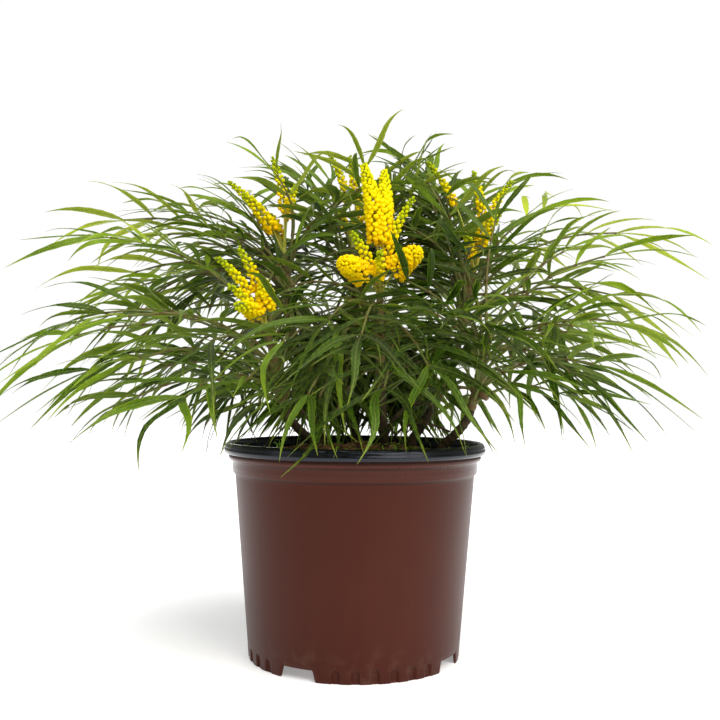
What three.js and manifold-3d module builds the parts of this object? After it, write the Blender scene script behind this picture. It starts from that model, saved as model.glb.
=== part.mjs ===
import * as THREE from "three";
import { mergeVertices } from "three/addons/utils/BufferGeometryUtils.js";
import Module from "manifold-3d";

// A potted mahonia in flower. Millimetres: +Z is up, the front faces -Y, the pot stands on Z = 0.
// An azimuth turns from the front (-Y) towards +X.

// Detail of a joined body that is finer than this is smoothed away
const SLIVER = 0.02;

// The nursery pot
const RIM_RADIUS = 139.6;
const POT_HEIGHT = 226;
const WALL_TOP = { radius: 127.7, z: 192.5 };
const FOOT_RADIUS = 111.7;
const WALL = 2.2;
const FLOOR = { under: 12, over: 14.2 };
const POT_SEGMENTS = 36;
const NOTCHES = { first: 61, count: 4, bottom: 23, top: 19.5, height: 11.4 };
const FLUTES = {
  section: 16, pitch: 10, perSection: 6, halfWidth: 4.2, height: 13.8, arch: 4.4, floorRadius: 110.3,
};

// The potting mix
const CLEARANCE = 0.3;
const SOIL = { edge: 205, crown: 217, rings: [106, 62] };

// The woody canes
const CANE = { foot: 188, straightTo: 224, radius: 6.2, topRadius: 4.6, sides: 8, stations: 4 };

// The leafy crowns on the canes: hub of the top whorl and root of the cane in the mix
const CROWNS = [
  { name: "front", hub: [24, -62, 372], root: [31, -28] },
  { name: "left_front", hub: [-90, -52, 338], root: [-40, -28] },
  { name: "left_back", hub: [-82, 62, 430], root: [-36, 24] },
  { name: "back", hub: [-4, 95, 440], root: [0, 42] },
  { name: "right_back", hub: [132, 52, 410], root: [62, 32] },
  { name: "right_front", hub: [134, -62, 338], root: [90, -38] },
];
const STEM = { length: 78, radius: 4.6, top: 5.5, sides: 6 };

// Fronds placed by eye: crown, then the last joint of the rachis
const CHOSEN = [
  [0, -40, -222, 278], [0, 24, -232, 284], [0, 62, -212, 304], [0, -25, -170, 345],
  [1, -294, -20, 352], [1, -280, -75, 334], [1, -266, -70, 300], [1, -222, -50, 274],
  [1, -150, -185, 275], [1, -95, -200, 290],
  [2, -267, 60, 474], [2, -262, 95, 418], [2, -140, 75, 518], [2, -190, 40, 480],
  [3, 9, 62, 536], [3, 52, 78, 505], [3, -52, 90, 520],
  [4, 165, 95, 515], [4, 293, 40, 460], [4, 277, 0, 386], [4, 214, 60, 490],
  [5, 270, -60, 352], [5, 225, -128, 308], [5, 200, -90, 280], [5, 135, -195, 290],
];
// The other fronds end on a dome, whose radius goes with the elevation in degrees
const DOME = {
  centre: [-3, -4, 300],
  depth: 0.9,
  radii: [[-12, 205], [0, 262], [12, 288], [30, 312], [60, 252], [90, 238]],
};
const OUTER_FRONDS = 66;
const UPPER_FRONDS = 28;
const SKIRT_FRONDS = 10;
const INWARD_TURNS = [-58, 0, 58];
const TOP_OF_FRONDS = { back: 545, front: 352 };
const GOLDEN_TURN = 137.508;

// One frond
const PAIR_GAP = { wide: 31, tight: 24 };
const PAIRS = { least: 3, most: 5 };
const RACHIS = { half: 1.5, depth: 2.4 };
const LEAFLET = { length: 76, extra: 20, half: 4.7, keel: 1.3, foot: 2.6, widest: 0.42, terminal: 88 };
const FULL_PAIRS = 2;
const TRIES = 7;
// Least distance between the middle lines of blades: on one crown, and from crown to crown
const APART = { own: 3.6, other: 10, rachis: 9 };

// Racemes: crown, tip, radius with its flowers, share of bare stalk
const RACEMES = [
  [0, 7, -62, 510, 9.5, 0.36], [0, 28, -50, 507, 9, 0.36], [0, 57, -72, 475, 6.5, 0.3],
  [0, -4, -88, 436, 7, 0.3], [0, -16, -100, 407, 10.5, 0.22], [0, 63, -92, 420, 10.5, 0.22],
  [0, 23, -108, 416, 6.5, 0.3],
  [1, -121, -50, 426, 7, 0.4], [1, -139, -74, 413, 6, 0.4], [1, -124, -100, 382, 6, 0.3],
  [1, -93, -66, 390, 9.5, 0.25], [1, -115, -112, 362, 8, 0.3],
  [2, -145, 50, 516, 6.5, 0.5], [2, -128, 40, 500, 8.5, 0.3], [2, -98, 72, 548, 7, 0.4],
  [2, -72, 84, 520, 7, 0.45], [2, -108, 118, 492, 8, 0.3],
  [3, -32, 100, 560, 6, 0.45], [3, -9, 92, 556, 6, 0.5], [3, 10, 146, 520, 8, 0.3],
  [3, -30, 140, 505, 7, 0.3],
  [4, 133, 52, 530, 6.5, 0.5], [4, 178, 62, 522, 6, 0.5], [4, 164, 38, 485, 6.5, 0.4],
  [4, 122, 24, 454, 7, 0.3], [4, 84, 84, 548, 5.5, 0.55], [4, 160, 108, 492, 8, 0.3],
];
const RACEME = { sides: 6, rows: 8, stalk: 1.3, hollow: 0.62, bow: 0.08, apart: 2.4 };

const FINISH = {
  pot: new THREE.MeshStandardMaterial({ color: "#55302a", roughness: 0.42 }),
  soil: new THREE.MeshStandardMaterial({ color: "#3b2a1e", roughness: 0.95 }),
  cane: new THREE.MeshStandardMaterial({ color: "#7a6545", roughness: 0.8 }),
  leaf: new THREE.MeshStandardMaterial({ color: "#5c7a35", roughness: 0.5 }),
  flower: new THREE.MeshStandardMaterial({ color: "#f4cc0a", roughness: 0.55 }),
};

const wasm = await Module();
wasm.setup();

const UP = new THREE.Vector3(0, 0, 1);
const vec = (x, y, z) => new THREE.Vector3(x, y, z);
const rad = THREE.MathUtils.degToRad;
const clamp = THREE.MathUtils.clamp;
const along = (p, d, t) => p.clone().addScaledVector(d, t);

/** Numbers in a fixed order from 0 to 1, for the seeded placing. */
class Draw {
  constructor(seed) {
    this.state = seed >>> 0;
  }
  value() {
    this.state = (Math.imul(this.state, 1664525) + 1013904223) >>> 0;
    return this.state / 4294967296;
  }
  spread(reach) {
    return (2 * this.value() - 1) * reach;
  }
}

// Solids

function solidOf(points, faces) {
  const vertProperties = new Float32Array(points.length * 3);
  points.forEach((p, i) => p.toArray(vertProperties, i * 3));
  const triVerts = Uint32Array.from(faces.flat());
  return new wasm.Manifold(new wasm.Mesh({ numProp: 3, vertProperties, triVerts }));
}

function solidOfGeometry(geometry) {
  const bare = new THREE.BufferGeometry();
  bare.setAttribute("position", geometry.getAttribute("position"));
  bare.setIndex(geometry.getIndex());
  const merged = mergeVertices(bare, 1e-3);
  const index = merged.getIndex().array;
  const kept = [];
  for (let i = 0; i < index.length; i += 3) {
    const [a, b, c] = index.slice(i, i + 3);
    if (a !== b && b !== c && c !== a) kept.push(a, b, c);
  }
  return new wasm.Manifold(
    new wasm.Mesh({
      numProp: 3,
      vertProperties: merged.getAttribute("position").array,
      triVerts: Uint32Array.from(kept),
    }),
  );
}

/** Turns a profile of [radius, z], listed anticlockwise, about the Z axis. */
function revolve(profile, segments) {
  const points = profile.map(([r, z]) => new THREE.Vector2(r, z));
  const geometry = new THREE.LatheGeometry([...points, points[0]], segments);
  return solidOfGeometry(geometry.rotateX(Math.PI / 2));
}

/** A prism that runs outwards along an azimuth, from an outline of [across, z]. */
function radialPrism(outline, azimuth, from, to) {
  const shape = new THREE.Shape(outline.map(([u, z]) => new THREE.Vector2(u, z)));
  const geometry = new THREE.ExtrudeGeometry(shape, { depth: to - from, bevelEnabled: false });
  geometry.rotateX(Math.PI / 2).translate(0, -from, 0).rotateZ(rad(azimuth));
  return solidOfGeometry(geometry);
}

/** A closed tube through stations of { at, reach: side => radius }, its ends flat. */
function sweep(stations, sides) {
  const points = [];
  const faces = [];
  const last = stations.length - 1;
  let across = null;
  stations.forEach(({ at, reach, heading }, i) => {
    const run =
      heading ??
      stations[Math.min(i + 1, last)].at.clone().sub(stations[Math.max(i - 1, 0)].at).normalize();
    across ??= Math.abs(run.z) > 0.9 ? vec(1, 0, 0) : UP.clone();
    across.addScaledVector(run, -across.dot(run)).normalize();
    const over = run.clone().cross(across);
    for (let k = 0; k < sides; k++) {
      const turn = (2 * Math.PI * k) / sides;
      points.push(along(along(at, across, reach(k) * Math.cos(turn)), over, reach(k) * Math.sin(turn)));
    }
    across = across.clone();
  });
  for (let i = 0; i < last; i++) {
    for (let k = 0; k < sides; k++) {
      const [a, b] = [i * sides + k, i * sides + ((k + 1) % sides)];
      faces.push([a, b, b + sides], [a, b + sides, a + sides]);
    }
  }
  for (let k = 1; k < sides - 1; k++) {
    faces.push([0, k + 1, k], [last * sides, last * sides + k, last * sides + k + 1]);
  }
  return solidOf(points, faces);
}

/** One body from several, with any sealed hollow filled and any loose scrap left out. */
function fuse(solids) {
  const bodies = wasm.Manifold.union(solids).asOriginal().simplify(SLIVER).decompose();
  return bodies.reduce((most, body) => (body.volume() > most.volume() ? body : most));
}

function named(name, solid, finish) {
  const { vertProperties, triVerts, numProp } = solid.getMesh();
  const count = vertProperties.length / numProp;
  const positions = new Float32Array(count * 3);
  for (let i = 0; i < count; i++) {
    positions.set(vertProperties.subarray(i * numProp, i * numProp + 3), i * 3);
  }
  const geometry = new THREE.BufferGeometry();
  geometry.setAttribute("position", new THREE.BufferAttribute(positions, 3));
  geometry.setIndex(new THREE.BufferAttribute(triVerts, 1));
  geometry.computeVertexNormals();
  const mesh = new THREE.Mesh(geometry, finish);
  mesh.name = name;
  return mesh;
}

// Pot and mix

function makePot() {
  const inner = (outer) => outer - WALL;
  const { radius: wallTop, z: wallTopZ } = WALL_TOP;
  const shell = revolve(
    [
      [0, FLOOR.under],
      [inner(FOOT_RADIUS) - 0.2, FLOOR.under],
      [inner(FOOT_RADIUS), 0],
      [FOOT_RADIUS, 0],
      [wallTop, wallTopZ],
      [130.7, 195.2],
      [130.7, 206.8],
      [134.3, 208.2],
      [134.8, 213.8],
      [138.8, 214.8],
      [RIM_RADIUS, 219],
      [137.8, 225],
      [135.4, POT_HEIGHT],
      [132.6, 225.2],
      [132.2, 213.4],
      [128.2, 206.6],
      [128, 196.6],
      [inner(wallTop), 191.6],
      [110.6, FLOOR.over],
      [0, FLOOR.over],
    ],
    POT_SEGMENTS,
  );
  const { bottom, top, height } = NOTCHES;
  const notch = [
    [-bottom, -2], [bottom, -2], [bottom, 0], [top + 0.8, height - 3], [top - 2.6, height],
    [2.6 - top, height], [-top - 0.8, height - 3], [-bottom, 0],
  ];
  const { halfWidth: w, height: h, arch } = FLUTES;
  const flute = [[-w, -2], [w, -2], [w, h - arch], [0, h], [-w, h - arch]];
  const cuts = [];
  for (let i = 0; i < NOTCHES.count; i++) {
    cuts.push(radialPrism(notch, NOTCHES.first + i * 90, 100, 125));
    for (let k = 0; k < FLUTES.perSection; k++) {
      const offset = (k - (FLUTES.perSection - 1) / 2) * FLUTES.pitch;
      cuts.push(radialPrism(flute, FLUTES.section + i * 90 + offset, FLUTES.floorRadius, 125));
    }
  }
  return shell.subtract(wasm.Manifold.union(cuts));
}

/** Height of the surface of the mix. */
function soilTop(x, y) {
  const r = Math.hypot(x, y);
  const mound = SOIL.edge + (SOIL.crown - SOIL.edge) * Math.cos(Math.min(r / 118, 1) * Math.PI * 0.5);
  return mound + 1.6 * Math.sin(0.071 * x + 1.3) * Math.cos(0.083 * y - 0.4);
}

function makeSoil() {
  const { z: wallTopZ } = WALL_TOP;
  const edge = [
    [110.6 - CLEARANCE, FLOOR.over + CLEARANCE],
    [WALL_TOP.radius - WALL - CLEARANCE, wallTopZ - 1],
    [127.6, 197.4],
    [127.7, SOIL.edge],
  ];
  const rings = SOIL.rings.map((r) => [r, SOIL.edge + 1]);
  const flat = revolve([[0, FLOOR.over + CLEARANCE], ...edge, ...rings, [0, SOIL.edge + 1]], POT_SEGMENTS);
  const heaped = flat.warp((p) => {
    if (p[2] > SOIL.edge + 0.5) p[2] = soilTop(p[0], p[1]);
  });
  const holes = CROWNS.map(({ root: [x, y] }) => {
    const reach = () => CANE.radius + CLEARANCE;
    const [from, to] = [CANE.foot - CLEARANCE, 240];
    return sweep([{ at: vec(x, y, from), reach }, { at: vec(x, y, to), reach }], CANE.sides);
  });
  return heaped.subtract(wasm.Manifold.union(holes));
}

// Canes

/** Axis of the leafy stem of a crown, steeper than the line from its root. */
function stemAxis({ hub, root }) {
  return vec(0.62 * (hub[0] - root[0]), 0.62 * (hub[1] - root[1]), hub[2] - SOIL.edge).normalize();
}

function canePath(crown) {
  const [x, y] = crown.root;
  const axis = stemAxis(crown);
  const from = vec(x, y, CANE.straightTo);
  const to = along(vec(...crown.hub), axis, -STEM.length - CLEARANCE);
  const knee = along(to, axis, -0.45 * (to.z - from.z));
  const path = [];
  for (let i = 0; i <= CANE.stations; i++) {
    const t = i / CANE.stations;
    const at = from.clone().multiplyScalar((1 - t) ** 2);
    path.push(at.addScaledVector(knee, 2 * t * (1 - t)).addScaledVector(to, t * t));
  }
  return path;
}

function makeCane(crown) {
  const [x, y] = crown.root;
  const path = canePath(crown);
  const stations = [{ at: vec(x, y, CANE.foot), reach: () => CANE.radius, heading: UP }];
  path.forEach((at, i) => {
    const t = i / CANE.stations;
    const radius = CANE.radius + (CANE.topRadius - CANE.radius) * t;
    const heading = i === 0 ? UP : i === CANE.stations ? stemAxis(crown) : undefined;
    stations.push({ at, reach: () => radius, heading });
  });
  return sweep(stations, CANE.sides);
}

// What the foliage grows round

function racemePath([crown, x, y, z]) {
  const { hub } = CROWNS[crown];
  const out = vec(x - hub[0], y - hub[1], 0).normalize();
  const from = along(along(vec(...hub), stemAxis(CROWNS[crown]), STEM.top + 4), out, RACEME.apart);
  const chord = vec(x, y, z).sub(from);
  const side = chord.clone().cross(UP).normalize();
  const bow = side.cross(chord).multiplyScalar(4 * RACEME.bow);
  return (s) => along(along(from, chord, s), bow, s * (1 - s));
}

function rod(a, b, reach, caneOf = null) {
  const run = b.clone().sub(a);
  return { a, run, reach, caneOf, centre: along(a, run, 0.5), size: run.length() / 2 + reach };
}

/** Rods that fronds and leaflets bend round: the racemes and the canes. */
function makeRods() {
  const rods = [];
  for (const raceme of RACEMES) {
    const path = racemePath(raceme);
    const [radius, bare] = [raceme[4], raceme[5]];
    const stops = [0, bare, 0.5 + bare / 2, 1];
    stops.slice(1).forEach((s, i) => rods.push(rod(path(stops[i]), path(s), (i ? radius : 2) + 5.8)));
  }
  CROWNS.forEach((crown, i) => {
    const stops = [vec(...crown.root, CANE.foot), ...canePath(crown)];
    stops.slice(1).forEach((b, k) => rods.push(rod(stops[k], b, CANE.radius + 5, i)));
  });
  return rods;
}

/** How far, and which way, a point has to move to be clear of rods, rim and mix. */
function push(point, rods) {
  const away = vec(0, 0, 0);
  for (const { a, run, reach, centre, size } of rods) {
    if (point.distanceTo(centre) > size) continue;
    const t = clamp(point.clone().sub(a).dot(run) / run.lengthSq(), 0, 1);
    const off = point.clone().sub(along(a, run, t));
    const distance = off.length();
    if (distance < reach) away.addScaledVector(off, (reach - distance) / Math.max(distance, 0.1));
  }
  const r = Math.hypot(point.x, point.y);
  if (r < 128 && point.z < SOIL.crown + 8) away.z += SOIL.crown + 8 - point.z;
  if (r >= 128 && r < 152 && point.z < POT_HEIGHT + 5) {
    const [out, up] = [152 - r, POT_HEIGHT + 5 - point.z];
    if (out < up) away.add(vec((point.x / r) * out, (point.y / r) * out, 0));
    else away.z += up;
  }
  return away;
}

// Fronds

function domeRadius(elevation) {
  const { radii } = DOME;
  for (let i = 1; i < radii.length; i++) {
    const [[a, from], [b, to]] = [radii[i - 1], radii[i]];
    if (elevation <= b) return from + ((to - from) * (Math.max(elevation, a) - a)) / (b - a);
  }
  return radii.at(-1)[1];
}

function nearestCrown(x, y) {
  const distance = ({ hub }) => Math.hypot(hub[0] - x, hub[1] - y);
  return CROWNS.reduce((best, c, i) => (distance(c) < distance(CROWNS[best]) ? i : best), 0);
}

/** Last joints of all fronds: { crown, tip }. */
function frondTips() {
  const tips = CHOSEN.map(([crown, x, y, z]) => ({ crown, tip: vec(x, y, z) }));
  const draw = new Draw(2026);
  const place = (lift, turn, share) => {
    const elevation = Math.asin(Math.min(0.995, lift));
    const radius = domeRadius(THREE.MathUtils.radToDeg(elevation)) * share;
    const flat = radius * Math.cos(elevation);
    const [cx, cy, cz] = DOME.centre;
    const tip = vec(
      cx + flat * Math.sin(turn),
      cy - flat * DOME.depth * Math.cos(turn),
      cz + radius * Math.sin(elevation),
    );
    const front = clamp((60 - tip.y) / 200, 0, 1);
    const top = TOP_OF_FRONDS.back + front * (TOP_OF_FRONDS.front - TOP_OF_FRONDS.back);
    const lower = draw.value() * 25;
    if (tip.z > top) tip.z = top - (tip.z - top) * 0.12 - lower;
    return tip;
  };
  const keep = (tip, gap, crown = nearestCrown(tip.x, tip.y)) => {
    if (tips.some((other) => other.tip.distanceTo(tip) < gap)) return;
    const [hx, hy, hz] = CROWNS[crown].hub;
    if (Math.hypot(tip.x - hx, tip.y - hy) < 46 && tip.z < hz + 60) return;
    if (crown === 0 && tip.z > 392) return;
    tips.push({ crown, tip });
  };
  for (let k = 0; k < OUTER_FRONDS; k++) {
    const lift = -0.13 + (1.1 * (k + 0.5)) / OUTER_FRONDS;
    const turn = rad(k * GOLDEN_TURN + draw.spread(9));
    keep(place(lift, turn, 0.93 + draw.spread(0.09)), 38);
  }
  for (let k = 0; k < UPPER_FRONDS; k++) {
    const lift = 0.34 + (0.62 * (k + 0.5)) / UPPER_FRONDS;
    const turn = rad(k * GOLDEN_TURN + 40);
    const tip = place(lift, turn, 0.82 + draw.spread(0.06));
    if (tip.y > 15) keep(tip, 34);
  }
  for (let k = 0; k < SKIRT_FRONDS; k++) {
    const turn = rad((k * 360) / SKIRT_FRONDS + draw.spread(10));
    const reach = 132 + draw.spread(18);
    const y = -reach * Math.cos(turn);
    const tip = vec(1.1 * reach * Math.sin(turn), y, 262 + draw.value() * 40 + (y > 0 ? 30 : 0));
    keep(tip, 30);
  }
  CROWNS.forEach(({ hub: [x, y, z] }, crown) => {
    for (const aside of INWARD_TURNS) {
      const turn = Math.atan2(-x, y) + rad(aside + draw.spread(12));
      const reach = 92 + draw.spread(16);
      const tip = vec(x + reach * Math.sin(turn), y - reach * Math.cos(turn), z + 38 + draw.spread(26));
      keep(tip, 30, crown);
    }
  });
  return tips;
}

/** The curve of a rachis from its crown's stem to its last joint. */
class Frond {
  /** `height` is the share of the leafy stem at which the frond grows. */
  constructor({ crown, tip }, height, draw) {
    const hub = vec(...CROWNS[crown].hub);
    this.crown = crown;
    this.tip = tip;
    this.base = along(hub, stemAxis(CROWNS[crown]), -STEM.length + 5 + (STEM.length - 6) * height);
    const out = this.tip.clone().sub(this.base).setZ(0).normalize();
    this.base.addScaledVector(out, STEM.radius * 0.4);
    this.chord = this.tip.clone().sub(this.base);
    this.length = this.chord.length();
    const run = this.chord.clone().normalize();
    const side = run.clone().cross(UP).normalize();
    const over = side.clone().cross(run);
    const level = Math.sqrt(1 - run.z * run.z);
    this.rise = over.multiplyScalar(this.length * (0.05 + 0.09 * level));
    this.aside = side.multiplyScalar(this.length);
    this.bow = along(this.rise, this.aside, draw.spread(0.05));
    this.roll = rad(draw.spread(24));
    this.seed = Math.floor(draw.value() * 4294967295);
  }
  point(s) {
    return along(along(this.base, this.chord, s), this.bow, 4 * s * (1 - s));
  }
  /** Straight runs of the rachis. */
  runs() {
    const stops = [0, 0.2, 0.4, 0.6, 0.8, 1].map((s) => this.point(s));
    return stops.slice(1).map((b, i) => line(stops[i], b, this.crown, this));
  }
  /** Bends the rachis sideways until it is clear of rods and other crowns; false where it can't be. */
  bendClear(rods, lines) {
    const inRod = (p) =>
      rods.some(({ a, run, reach, caneOf }) => {
        const t = clamp(p.clone().sub(a).dot(run) / run.lengthSq(), 0, 1);
        return caneOf !== this.crown && p.distanceTo(along(a, run, t)) < reach;
      });
    const stops = [0.06, 0.15, 0.25, 0.35, 0.45, 0.55, 0.65, 0.75, 0.85, 0.95, 1];
    const first = this.bow;
    for (const bend of [0, 0.06, -0.06, 0.12, -0.12, 0.18, -0.18, 0.24, -0.24, 0.3, -0.3]) {
      this.bow = along(first, this.aside, bend);
      if (stops.some((s) => inRod(this.point(s)))) continue;
      const met = this.runs().some((own) =>
        lines.some((other) => other.crown !== this.crown && meets(own, other, APART.rachis)),
      );
      if (!met) return true;
    }
    return false;
  }
  run(s) {
    return along(this.chord, this.bow, 4 * (1 - 2 * s)).normalize();
  }
  frame(s) {
    const run = this.run(s);
    const side = run.clone().cross(UP).normalize();
    return { at: this.point(s), run, side, over: side.clone().cross(run) };
  }
}

function line(a, b, crown, owner) {
  const run = b.clone().sub(a);
  return { a, run, crown, owner, centre: along(a, run, 0.5), size: run.length() / 2 };
}

/** Whether two straight runs pass nearer to each other than the limit. */
function meets(one, other, limit) {
  if (one.centre.distanceTo(other.centre) > one.size + other.size + limit) return false;
  const w = one.a.clone().sub(other.a);
  const [u, v] = [one.run, other.run];
  const [uu, uv, vv, uw, vw] = [u.dot(u), u.dot(v), v.dot(v), u.dot(w), v.dot(w)];
  const spread = uu * vv - uv * uv;
  const first = spread < 1e-9 ? 0 : clamp((uv * vw - vv * uw) / spread, 0, 1);
  const t = clamp((uv * first + vw) / vv, 0, 1);
  const s = clamp((uv * t - uw) / uu, 0, 1);
  return w.addScaledVector(u, s).addScaledVector(v, -t).length() < limit;
}

/** All fronds together: each leaflet gets a place clear of what grew before it. */
class Foliage {
  constructor(crownFronds) {
    this.rods = makeRods();
    this.lines = CROWNS.map((crown, i) => {
      const onStem = (height) => along(vec(...crown.hub), stemAxis(crown), height);
      return line(onStem(-STEM.length), onStem(STEM.top), i, null);
    });
    this.crowns = crownFronds.map((fronds) =>
      fronds.filter((frond) => {
        const placed = frond.bendClear(this.rods, this.lines);
        if (placed) this.lines.push(...frond.runs());
        return placed;
      }),
    );
    this.crowns = this.crowns.map((fronds) => fronds.map((frond) => ({ frond, ...this.leaflets(frond) })));
  }

  /** A leaflet { from, mid, tip } bent clear of rods, rim and mix, or null where it can't be. */
  settle(from, ahead, sag, length, straight = false) {
    const mid = along(along(from, ahead, length * 0.5), sag, length * 0.25);
    const tip = along(along(from, ahead, length), sag, length);
    const leaflet = { from, mid, tip };
    if (straight) leaflet.mid.lerpVectors(from, tip, 0.5);
    for (let round = 0; round < 7; round++) {
      let worst = null;
      for (const u of [0.12, 0.3, 0.5, 0.65, 0.8, 1]) {
        const move = push(leafletPoint(leaflet, u), this.rods);
        if (!worst || move.lengthSq() > worst.move.lengthSq()) worst = { move, u };
      }
      const { move, u } = worst;
      if (move.lengthSq() < 1e-6) return leaflet;
      leaflet.tip.addScaledVector(move, 1.15 * u);
      if (straight) leaflet.mid.lerpVectors(from, leaflet.tip, 0.5);
      else leaflet.mid.addScaledVector(move, 0.6);
    }
    return null;
  }

  /** Straight runs of a leaflet. */
  runs(leaflet, owner, crown) {
    const mid = leafletPoint(leaflet, LEAFLET.widest);
    return [line(leafletPoint(leaflet, 0.08), mid, crown, owner), line(mid, leaflet.tip, crown, owner)];
  }

  /** How badly runs come too near to what has grown: Infinity where they meet another crown. */
  crossings(runs, frond) {
    let count = 0;
    for (const other of this.lines) {
      if (other.owner === frond) continue;
      const foreign = other.crown !== frond.crown;
      const limit = foreign ? APART.other : APART.own;
      for (const run of runs) {
        if (meets(run, other, limit)) {
          if (foreign) return Infinity;
          count += 1;
        }
      }
    }
    return count;
  }

  /** The first of a few tries that crosses nothing, or the one that crosses least on its own crown. */
  clearest(frond, tryOne) {
    let best = { leaflet: null, count: Infinity };
    for (let round = 0; round < TRIES && best.count > 0; round++) {
      const leaflet = tryOne(round / (TRIES - 1));
      if (!leaflet) continue;
      const runs = this.runs(leaflet, leaflet, frond.crown);
      const count = this.crossings(runs, frond);
      if (count < best.count) best = { leaflet, count, runs };
    }
    if (best.leaflet) this.lines.push(...best.runs);
    return best.leaflet;
  }

  /** Leaflets of a frond, pair by pair from its last joint. */
  leaflets(frond) {
    const draw = new Draw(frond.seed);
    const gap = clamp(frond.length / 5.4, PAIR_GAP.tight, PAIR_GAP.wide);
    const pairs = clamp(Math.floor((frond.length - 22) / gap), PAIRS.least, PAIRS.most);
    const joints = [];
    for (let j = 0; j < pairs; j++) {
      const s = 1 - (j * gap) / frond.length;
      const { at, run, side, over } = frond.frame(s);
      const share = j / (pairs - 1);
      const length = LEAFLET.length + LEAFLET.extra * Math.sin(Math.PI * (0.25 + 0.6 * share));
      const pair = [-1, 1].map((hand) =>
        this.clearest(frond, (loose) => {
          const spread = rad(36 + 30 * share + draw.spread(4 + 16 * loose));
          const roll = frond.roll + rad(draw.spread(34 * loose));
          const out = side.clone().multiplyScalar(hand * Math.cos(roll));
          out.addScaledVector(over, hand * Math.sin(roll));
          const ahead = run.clone().multiplyScalar(Math.cos(spread)).addScaledVector(out, Math.sin(spread));
          ahead.addScaledVector(over, 0.16 + draw.spread(0.24 + 0.2 * loose)).normalize();
          const droop = (0.1 + draw.value() * 0.26) * (frond.tip.z < 300 ? 0.6 : 1);
          const sag = run.clone().multiplyScalar(0.1).addScaledVector(UP, -droop);
          return this.settle(at, ahead, sag, length * (1 + draw.spread(0.13)), j >= FULL_PAIRS);
        }),
      );
      joints.push({ s, pair });
    }
    const { at, run, side } = frond.frame(1);
    const terminal = this.clearest(frond, (loose) => {
      const ahead = along(run, side, draw.spread(0.5 * loose)).normalize();
      const sag = UP.clone().multiplyScalar(-(0.1 + 0.15 * draw.value()));
      return this.settle(at, ahead, sag, LEAFLET.terminal * (1 + draw.spread(0.1)));
    });
    return { joints, terminal };
  }
}

function leafletPoint({ from, mid, tip }, u) {
  const point = from.clone().multiplyScalar((1 - u) * (1 - 2 * u));
  return point.addScaledVector(mid, 4 * u * (1 - u)).addScaledVector(tip, u * (2 * u - 1));
}

/** One frond as a single closed surface of three-cornered sections. */
function frondSolid({ frond, joints, terminal }) {
  const points = [];
  const faces = [];
  const add = (p) => points.push(p) - 1;
  const edges = ({ at, side }, half) => [add(along(at, side, -half)), add(along(at, side, half))];
  // A blade grows from a hole whose corners are its rear or left edge, its other edge and its keel.
  const blade = (hole, leaflet, edgeOf, order, slender = false) => {
    if (!leaflet) {
      faces.push(order(hole));
      return;
    }
    if (slender) {
      const end = add(leaflet.tip.clone());
      const from = order(hole);
      for (let k = 0; k < 3; k++) faces.push([from[k], from[(k + 1) % 3], end]);
      return;
    }
    const at = leafletPoint(leaflet, LEAFLET.widest);
    const heading = leafletPoint(leaflet, 0.6).sub(leafletPoint(leaflet, 0.2)).normalize();
    const edge = edgeOf.clone().addScaledVector(heading, -edgeOf.dot(heading)).normalize();
    const keelward = heading.clone().cross(edge).multiplyScalar(leaflet.keelSign * LEAFLET.keel);
    const middle = [
      add(along(at, edge, -LEAFLET.half)),
      add(along(at, edge, LEAFLET.half)),
      add(at.clone().add(keelward)),
    ];
    const end = add(leaflet.tip.clone());
    const [from, to] = [order(hole), order(middle)];
    for (let k = 0; k < 3; k++) {
      const n = (k + 1) % 3;
      faces.push([from[k], from[n], to[n]], [from[k], to[n], to[k]], [to[k], to[n], end]);
    }
  };
  const thick = (s) => 1 + 0.4 * (1 - s);
  const start = frond.frame(0);
  let back = [...edges(start, RACHIS.half * 1.4), add(along(start.at, start.over, -RACHIS.depth * 1.4))];
  faces.push([back[0], back[2], back[1]]);
  for (let j = joints.length - 1; j >= 0; j--) {
    const { s, pair } = joints[j];
    const frame = frond.frame(s);
    const size = thick(s);
    const slender = j >= FULL_PAIRS;
    const foot = slender ? LEAFLET.foot * 1.5 : LEAFLET.foot;
    const rear = edges({ ...frame, at: along(frame.at, frame.run, -foot) }, RACHIS.half * size);
    const fore = edges({ ...frame, at: along(frame.at, frame.run, foot) }, RACHIS.half * size);
    const keel = add(along(frame.at, frame.over, -RACHIS.depth * size));
    const [backL, backR, backK] = back;
    faces.push([backL, backR, rear[1]], [backL, rear[1], rear[0]]);
    faces.push([backL, rear[0], keel], [backL, keel, backK]);
    faces.push([backR, backK, keel], [backR, keel, rear[1]]);
    faces.push([rear[0], rear[1], fore[1]], [rear[0], fore[1], fore[0]]);
    const [left, right] = pair;
    if (left) left.keelSign = 1;
    if (right) right.keelSign = -1;
    blade([rear[0], fore[0], keel], left, frame.run, (h) => h, slender);
    blade([rear[1], fore[1], keel], right, frame.run, ([a, b, c]) => [a, c, b], slender);
    back = [fore[0], fore[1], keel];
  }
  if (terminal) terminal.keelSign = 1;
  blade(back, terminal, frond.frame(1).side, (h) => h);
  return solidOf(points, faces);
}

function makeCrown(crown, fronds) {
  const axis = stemAxis(CROWNS[crown]);
  const hub = vec(...CROWNS[crown].hub);
  const stem = sweep(
    [
      { at: along(hub, axis, -STEM.length), reach: () => STEM.radius, heading: axis },
      { at: along(hub, axis, STEM.top), reach: () => STEM.radius * 0.8, heading: axis },
    ],
    STEM.sides,
  );
  return fuse([stem, ...fronds.map(frondSolid)]);
}

// Racemes

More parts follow.
